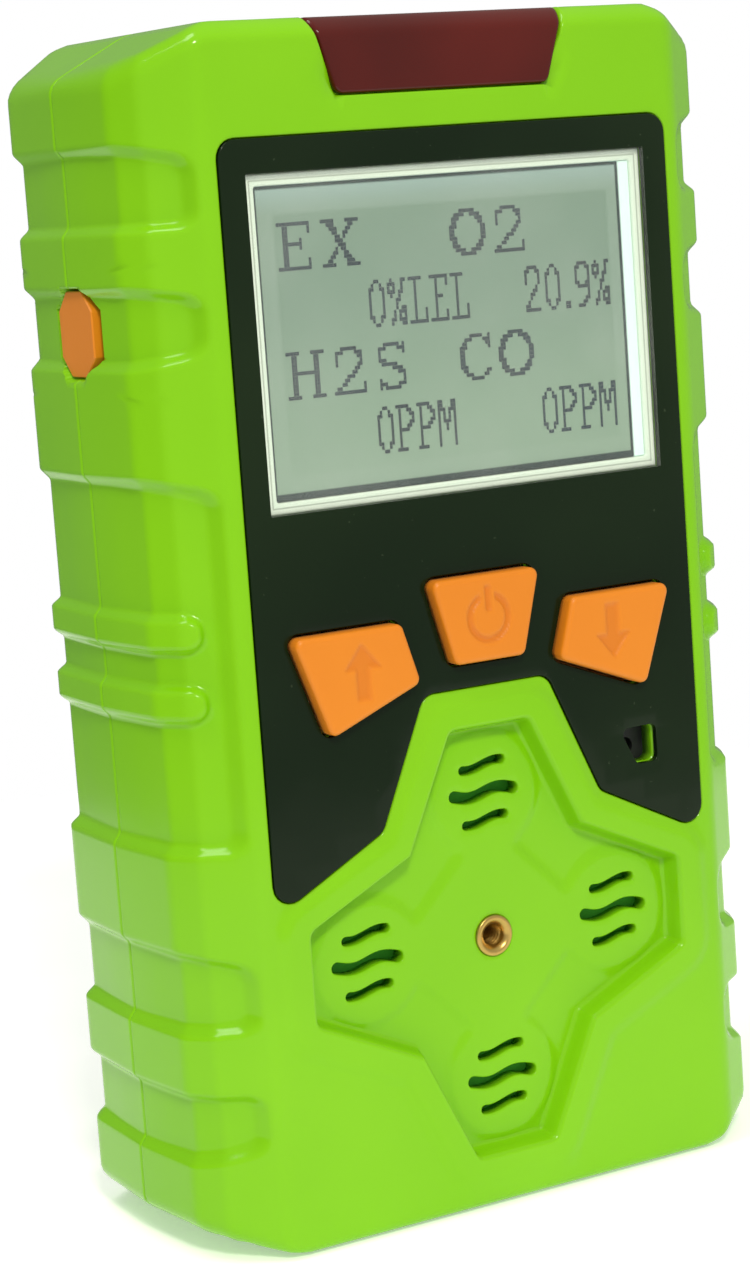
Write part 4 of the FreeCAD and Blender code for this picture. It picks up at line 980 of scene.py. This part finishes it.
wide_signs = {
    "E": [stroke((1, 2), (12, 2), (12, 4)), stroke((4, 2), (4, 13)), stroke((3, 2), (3, 13)),
          stroke((4, 7), (9, 7)), stroke((9, 6), (9, 8)), stroke((1, 13), (12, 13), (12, 11))],
    "X": [stroke((3, 2), (11, 13)), stroke((4, 2), (12, 13)), stroke((12, 2), (3, 13))]
         + serif((3, 2), (12, 2), (3, 13), (12, 13)),
    "O": [bow(7.5, 7.5, 6.3, 5.4), bow(7.5, 7.5, 5.4, 5.2)],
    "2": [bow(7.5, 5, 4.8, 3, 190, -20), bow(7.5, 5, 4.2, 3, 40, -30), stroke((12, 6), (3, 12.6)),
          stroke((2, 13), (13, 13), (13, 11))],
    "H": [stroke((x, 2), (x, 13)) for x in (3, 4, 11, 12)] + [stroke((4, 7), (11, 7))]
         + serif((3, 2), (12, 2), (3, 13), (12, 13)),
    "S": [bow(7.5, 4.8, 4.6, 2.8, 30, 250), bow(7.5, 10.2, 4.9, 2.8, 80, -150), stroke((4, 6), (11, 9)),
          stroke((12, 2), (12, 4)), stroke((3, 11), (3, 13))],
    "C": [bow(8, 7.5, 6.3, 5.4, 40, 320), bow(8, 7.5, 5.4, 5.2, 110, 250), stroke((13, 2), (13, 5))]}
narrow_signs = {
    "0": [bow(3.5, 7.5, 2.5, 5.5)],
    "%": [bow(1.2, 4.0, 1.0, 1.6), bow(5.3, 11.0, 1.0, 1.6), stroke((5.6, 2), (1, 13))],
    "L": [stroke((2, 2), (2, 13)), stroke((0, 13), (6, 13), (6, 10)), stroke((0, 2), (4, 2))],
    "E": [stroke((2, 2), (2, 13)), stroke((0, 13), (6, 13), (6, 11)), stroke((0, 2), (6, 2), (6, 4)),
          stroke((2, 7), (4, 7))],
    "2": [bow(3.5, 5, 2.5, 3, 190, -20), stroke((6, 6), (1, 12.4)), stroke((1, 13), (6, 13))],
    "9": [bow(3.5, 5.2, 2.5, 3.2), stroke((6, 5), (6, 8)), bow(3, 8, 3, 5, 0, -110)],
    ".": [stroke((1, 13), (2, 13)), stroke((1, 12), (2, 12))],
    "P": [stroke((1, 2), (1, 13)), bow(2, 5, 4, 3, 90, -90), stroke((0, 13), (3, 13)),
          stroke((0, 2), (3, 2))],
    "M": [stroke((0, 13), (0, 2), (1, 2), (3, 9), (5, 2), (6, 2), (6, 13))]}
readout = [("E", 0, 0), ("X", 16, 0), ("O", 64, 0), ("2", 80, 0), ("H", 0, 2), ("2", 16, 2), ("S", 32, 2),
           ("C", 64, 2), ("O", 80, 2)]
small_readout = [("0%LEL", 32, 1), ("20", 92, 1), (".", 108, 1), ("9%", 112, 1), ("0PPM", 32, 3),
                 ("0PPM", 96, 3)]
pen = [np.vstack(wide_signs[sign]) + (column, 16 * line) for sign, column, line in readout]
pen += [np.vstack(narrow_signs[sign]) + (column + 8 * k, 16 * line)
        for word, column, line in small_readout for k, sign in enumerate(word)]
lit = np.unique(np.floor(np.vstack(pen) + 0.5).astype(int), axis=0)
cube = np.array([(x, y, z) for x in (0, 1) for y in (0, 1) for z in (0, 1)], float)
cube_faces = np.array(((0, 1, 3, 2), (4, 6, 7, 5), (0, 4, 5, 1), (2, 3, 7, 6), (0, 2, 6, 4), (1, 5, 7, 3)))
dot_front = front_plane + glass_front - dot_rise
spots = np.stack((dots_left + lit[:, 0] * dot_pitch[0], np.full(len(lit), dot_front),
                  dots_top - (lit[:, 1] + 1) * dot_pitch[1]), 1)
size = (dot_pitch[0] * dot_fill, 2.0 * dot_rise, dot_pitch[1] * dot_fill)
points = (spots[:, None] + cube * size).reshape(-1, 3)
faces = (cube_faces + 8 * np.arange(len(lit))[:, None, None]).reshape(-1, 4).tolist()
ink = Finish("crystal_ink", Roughness=0.4)
ink.feed(Base_Color=ink.mix(ink.noise(60.0).ramp(0.3, 0.7), linear(12, 32, 42), linear(22, 44, 56)))
dots = piece("readout_dots", points, faces, ink, smooth=False, merge=False)
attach(dots, "case")

# Keys: three caps of orange silicone, moulded with their flanges and stems. Each has a shallow mark
# sunk into it: an arrow up, a power sign and an arrow down. Each mark's floor is painted darker as shade.
key_proud, key_fillet, mark_depth = 1.4, 0.55, 0.3
key_back, flange_back, flange_reach = 3.15, 3.8, 0.8
orange = moulded("orange_silicone", (211, 120, 13), (216, 125, 16), 0.42, 1800.0, 0.000006,
                 IOR=1.4, Sheen_Weight=0.04)


def arrow_mark(x, z):
    """Distance to an arrow 6 mm tall: a shaft, and a head whose half-width shrinks to its point."""
    shaft = np.maximum(np.abs(x) - 0.8, np.abs(z + 1.2) - 1.8)
    head = np.maximum((np.abs(x) + 0.8 * (z - 2.9)) / 1.28, 0.35 - z)
    return np.minimum(shaft, head)


def power_mark(x, z):
    """Distance to a ring 4.8 mm across, open at the top, with a bar in the opening."""
    ring_line = np.maximum(np.abs(np.hypot(x, z) - 2.4) - 0.3, 0.95 - np.abs(x) - 2.0 * (z < 0.0))
    bar = np.maximum(np.abs(x) - 0.3, np.abs(z - 2.1) - 1.3)
    return np.minimum(ring_line, bar)


def key_piece(name, corners):
    """A key: its cap with the mark sunk in, on its flange. The attribute pressed is 1 on the
    floor of the mark and 0 off it, and paints shade on that floor."""
    middle = corners.mean(0)

    def relief(x, z):
        return mark_depth * (1.0 - step(marks[name](x - middle[0], z - middle[1]), -0.12, 0.16))

    cap = slab(corners, key_round, [], -key_proud, key_back, key_fillet, 0.24, relief)
    flange = slab(moved_out(corners, flange_reach), key_round + flange_reach, [], key_back, flange_back,
                  0.1, 2.5)
    made = piece("silicone_key_" + name, *joined(cap, flange), orange)
    spots = np.empty(3 * len(made.data.vertices))
    made.data.vertices.foreach_get("co", spots)
    x, y, z = spots.reshape(-1, 3).T / millimetre
    shade = relief(x, z) / mark_depth * (y < front_plane)
    made.data.attributes.new("pressed", "FLOAT", "POINT").data.foreach_set("value", shade)
    fit(made, "key_" + name, "key_" + name)


# Painted shade: the floor of each mark is painted darker, towards (184, 88, 8).
pressed = orange.add("ShaderNodeAttribute", {"attribute_name": "pressed"}, output=2)
orange.feed(Base_Color=orange.mix(pressed * 0.28, orange.tone, linear(184, 88, 8)))
marks = {"up": arrow_mark, "down": lambda x, z: arrow_mark(x, -z), "power": power_mark}
for name, corners in keys.items():
    key_piece(name, corners)
keypad = moulded("keypad_silicone", (92, 94, 96), (104, 106, 108), 0.55, 1500.0, 0.000008, IOR=1.4)
dress(keypad, "keypad_sheet")

# Calibration thread: a brass insert pressed into the middle of the sensor face, with a chamfered
# mouth and a fine thread that takes the calibration cap's screw.
insert_low, insert_high = (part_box("thread_insert")[k].y / millimetre - front_plane for k in (0, 1))
thread_bore, thread_depth, thread_pitch, mouth = 1.25, 0.2, 0.5, 0.5
thread_sides, thread_rows = 72, 150
brass = moulded("turned_brass", (182, 150, 84), (196, 166, 98), 0.32, 900.0, 0.000006, Metallic=1.0)
turns = np.linspace(0.0, 2.0 * math.pi, thread_sides + 1)[:-1, None]
depth = np.linspace(mouth, insert_high - insert_low, thread_rows)[None, :]
wave = np.abs((depth / thread_pitch + turns / (2.0 * math.pi)) % 1.0 * 2.0 - 1.0)
inner = thread_bore + thread_depth * (wave - 0.5) * step(depth, mouth - 0.1, mouth + 0.5)
collar = ((insert_radius, insert_high - insert_low), (insert_radius, 0.12), (insert_radius - 0.12, 0.0),
          (thread_bore + mouth + 0.1, 0.0), (thread_bore + mouth - 0.02, 0.05))
collar_radii, collar_depths = np.tile(np.array(collar).T[:, None], (1, thread_sides, 1))
radius = np.hstack((collar_radii, inner))
depth = np.hstack((collar_depths, np.tile(depth, (thread_sides, 1))))
points = np.stack((radius * np.cos(turns), depth + insert_low + front_plane,
                   radius * np.sin(turns) + sensor_middle), 2)
count = points.shape[1]
faces = grid_faces(thread_sides, count)
for side in range(thread_sides):
    this, ahead = side * count, (side + 1) % thread_sides * count
    faces.append([this + count - 1, ahead + count - 1, ahead, this])
fit(piece("brass_thread", points.reshape(-1, 3), faces, brass), "thread_insert", "case")

# Port plug: a bung of orange silicone in the left side. Its face has eight sides and a fine
# bevel, and a tongue behind it fills the charging socket.
plug_out, plug_in = (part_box("port_plug")[k].x / millimetre for k in (0, 1))
plug_sunk, plug_bevel, plug_thick = 1.09, (0.1, 0.16), 2.6
plug_round, tongue_half, tongue_root = 0.35, (3.2, 0.95), 0.5
plug_back = plug_out + plug_thick
plug_face = plug_out + plug_sunk
rings = ((0.0, plug_back), (0.0, plug_face + plug_bevel[1]), (-plug_bevel[0], plug_face))
rows = [np.insert(outline(plug_outline(0.0), plug_round, grow, 1.5, 5), 0, x, axis=1) for grow, x in rings]
rows = np.stack(rows, 1) + (0.0, front_plane, 0.0)
columns, count = rows.shape[:2]
faces = grid_faces(columns, count) + [[k * count + end for k in range(columns)] for end in (0, count - 1)]
tongue = cube * (plug_in - plug_back + tongue_root, 2.0 * tongue_half[0], 2.0 * tongue_half[1])
tongue += (plug_back - tongue_root, plug_y + front_plane - tongue_half[0], plug_z - tongue_half[1])
plug = piece("silicone_plug", *joined((rows, faces), (tongue, cube_faces.tolist())), orange, smooth=False)
plug.data.shade_smooth()
plug.data.set_sharp_from_angle(angle=math.radians(24.0))
fit(plug, "port_plug", "port_plug")

# Port mouth: the charging socket's plated rim and dark opening, in the floor of the plug's pocket.
# The plug's tongue goes through it, so it is seen only while the plug is out.
socket_low, socket_high = (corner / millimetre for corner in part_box("usb_socket"))
mouth_front, mouth_rim, mouth_round = plug_back + 0.14, 0.35, 0.9
mouth_depth, opening_sunk, opening_grow = 0.4, 0.08, -0.315
mouth_box = rectangle(socket_low.y, socket_high.y, socket_low.z, socket_high.z)


def mouth_rows(rows):
    """Outlines round the opening, each moved out by its own distance at its own x."""
    rings = [np.insert(outline(mouth_box, mouth_round, grow, 0.8), 0, x, axis=1) for x, grow in rows]
    return np.stack(rings, 1)


plated = moulded("socket_plating", (160, 160, 164), (184, 184, 188), 0.25, 600.0, 0.000002, Metallic=1.0)
rim_rows = mouth_rows([(mouth_front + mouth_depth, 0.0), (mouth_front, 0.0), (mouth_front, -mouth_rim),
                       (mouth_front + mouth_depth, -mouth_rim)])
faces = grid_faces(len(rim_rows), 4)
for k in range(len(rim_rows)):
    this, ahead = 4 * k, (k + 1) % len(rim_rows) * 4
    faces.append([this + 3, this, ahead, ahead + 3])
rim = piece("port_rim", rim_rows.reshape(-1, 3), faces, plated, smooth=False)
hole_rows = mouth_rows([(mouth_front + opening_sunk, opening_grow),
                        (mouth_front + mouth_depth, opening_grow)])
faces = grid_faces(len(hole_rows), 2) + [[2 * k + end for k in range(len(hole_rows))] for end in (0, 1)]
# The dark block that fills the socket's mouth is partly its black insulator and partly painted shade of the
# hollow socket.
shadow = moulded("socket_insulator_and_shade", (14, 14, 15), (20, 20, 21), 0.6)
opening = piece("port_opening", hole_rows.reshape(-1, 3), faces, shadow, smooth=False)
for made, slot_name in ((rim, "steel"), (opening, "black_plastic")):
    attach(made, "case")

# Belt clip: a plate screwed to the back and a lever, both bent from stainless sheet, with a pin
# through their ears. A spring coiled round the pin presses the lever's tip against the plate.
spring_low, spring_high = (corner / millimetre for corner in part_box("clip_spring"))
pin_middle = 0.5 * sum(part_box("clip_pin"), Vector()) / millimetre
wire_radius, coil_turns, wire_sides, coil_steps, leg_steps = 0.35, 10.0, 10, 420, 12
coil_radius = spring_high.z - pin_middle.z - wire_radius
coil_half = spring_high.x - wire_radius
leg_start = pin_middle.y - 0.3
edge_angle, sheet_round, steel_round, head_round = math.radians(30.0), 0.16, 0.2, 0.25


def softened(name, node, finish, body, round_edge):
    """A closed copy of the node's CAD mesh, with every edge sharper than 30 degrees rounded."""
    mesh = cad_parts[node].data.copy()
    work = bmesh.new()
    work.from_mesh(mesh)
    bmesh.ops.remove_doubles(work, verts=work.verts, dist=0.001 * millimetre)
    bmesh.ops.dissolve_limit(work, angle_limit=math.radians(1.0), verts=work.verts, edges=work.edges)
    work.to_mesh(mesh)
    work.free()
    made = bpy.data.objects.new(name, mesh)
    bpy.context.scene.collection.objects.link(made)
    mesh.shade_smooth()
    edge = made.modifiers.new("round_edges", "BEVEL")
    edge.width, edge.segments, edge.limit_method = round_edge * millimetre, 2, "ANGLE"
    edge.angle_limit, edge.harden_normals, edge.use_clamp_overlap = edge_angle, True, True
    dress(finish, made)
    fit(made, node, body)


def tube(line, radius, sides):
    """Rings of that radius round a line of points: p + r (cos t n + sin t b), where n points from
    the pin's axis or along it, and b crosses it and the line's direction. Flat caps close it."""
    ahead = np.gradient(line, axis=0)
    ahead /= np.linalg.norm(ahead, axis=1)[:, None]
    first = np.cross(ahead, (1.0, 0.0, 0.0))
    first /= np.linalg.norm(first, axis=1)[:, None]
    second = np.cross(ahead, first)
    t = np.linspace(0.0, 2.0 * math.pi, sides, endpoint=False)[:, None, None]
    rings = line + radius * (np.cos(t) * first + np.sin(t) * second)
    count = len(line)
    caps = [[k * count + end for k in range(sides)] for end in (0, count - 1)]
    return rings.reshape(-1, 3), grid_faces(sides, count) + caps


stainless = moulded("brushed_stainless", (150, 152, 154), (172, 174, 176), 0.3, 900.0, 0.000003,
                    Metallic=1.0)
scratches = stainless.noise(900.0, 3.0, (0.05, 1.0, 1.0))
stainless.feed(Roughness=scratches * 0.3 + 0.18)
steel = moulded("plated_steel", (160, 160, 164), (184, 184, 188), 0.3, 600.0, 0.000002, Metallic=1.0)
spring_steel = moulded("spring_wire", (118, 120, 124), (140, 142, 146), 0.28, 500.0, 0.000002,
                       Metallic=1.0)
softened("clip_plate", "clip_base", stainless, "case", sheet_round)
softened("clip_lever", "clip_jaw", stainless, "clip_jaw", sheet_round)
softened("clip_pivot", "clip_pin", steel, "case", steel_round)
softened("clip_rivets", "clip_screws", steel, "case", steel_round)

turns = np.linspace(0.0, 2.0 * math.pi * coil_turns, coil_steps) - 0.5 * math.pi
coil = np.stack((np.linspace(-coil_half, coil_half, coil_steps),
                 pin_middle.y + coil_radius * np.cos(turns),
                 pin_middle.z + coil_radius * np.sin(turns)), 1)
leg = np.stack((np.full(leg_steps, coil_half), np.linspace(leg_start, spring_low.y + wire_radius, leg_steps),
                np.full(leg_steps, pin_middle.z - coil_radius)), 1)
spring = tube(np.vstack((coil, leg)), wire_radius, wire_sides)
fit(piece("clip_coil", *spring, spring_steel), "clip_spring", "case")

# Case screws and seal: four steel screws reach through the rear shell into brass inserts in the
# front shell, and a grey silicone ring lies in the joint between the two.
seal_silicone = moulded("seal_silicone", (70, 72, 74), (80, 82, 84), 0.6, 1500.0, 0.000008, IOR=1.4)
softened("case_screw_heads", "case_screws", steel, "case", head_round)
dress(steel, "board_screws")
dress(seal_silicone, "case_seal", "sensor_seals")
dress(brass, "case_inserts")

# Boards: glass fibre under green solder mask, with black chips, switches and a buzzer, amber film
# ribbons between them, and the charging socket on its own small board.
solder_mask = moulded("solder_mask", (18, 84, 44), (24, 98, 52), 0.35, 500.0, 0.00001, IOR=1.5)
nylon = moulded("black_nylon", (26, 27, 29), (34, 35, 37), 0.5, 1600.0, 0.000012)
amber = moulded("amber_film", (176, 108, 34), (194, 124, 44), 0.3, 300.0, 0.00001)
dress(solder_mask, "main_board", "sensor_board", "alarm_board", "charge_board")
dress(nylon, "board_chips", "switch_bodies", "switch_plunger_up", "switch_plunger_power",
      "switch_plunger_down", "buzzer")
dress(amber, "board_ribbon", "display_ribbon")
dress(steel, "usb_socket")

# Alarm lights: three clear epoxy lamps under the red lens.
epoxy = moulded("clear_epoxy", (226, 214, 206), (238, 226, 218), 0.2, 400.0, 0.000002, IOR=1.5)
dress(epoxy, "alarm_leds")

# Sensors: four white cells behind the grilles, each under a porous cloth that keeps dust out. The cloth
# is painted lime green: painted light for the glow that the lime shell throws into the slots.
cell = moulded("sensor_cell", (214, 214, 208), (226, 226, 220), 0.45, 1200.0, 0.00001)
filter_finish_green_light = moulded("filter_cloth_painted_green_light", (52, 146, 26), (66, 162, 36), 0.85, 3000.0, 0.00004)
dress(cell, "sensor_oxygen", "sensor_combustible", "sensor_carbon_monoxide", "sensor_hydrogen_sulfide")
dress(filter_finish_green_light, "dust_filters")

# Battery and motor: a foil pouch held by foam tape, and a steel motor with a tungsten weight.
foil = moulded("battery_foil", (140, 148, 160), (158, 166, 178), 0.35, 700.0, 0.00003, Metallic=0.6)
foam = moulded("foam_tape", (30, 30, 30), (42, 42, 42), 0.8, 2200.0, 0.00005)
tungsten = moulded("sintered_tungsten", (96, 96, 100), (112, 112, 116), 0.45, 1500.0, 0.000012,
                   Metallic=1.0)
dress(foil, "battery_cell")
dress(foam, "battery_tape")
dress(steel, "vibration_motor")
dress(tungsten, "motor_weight")
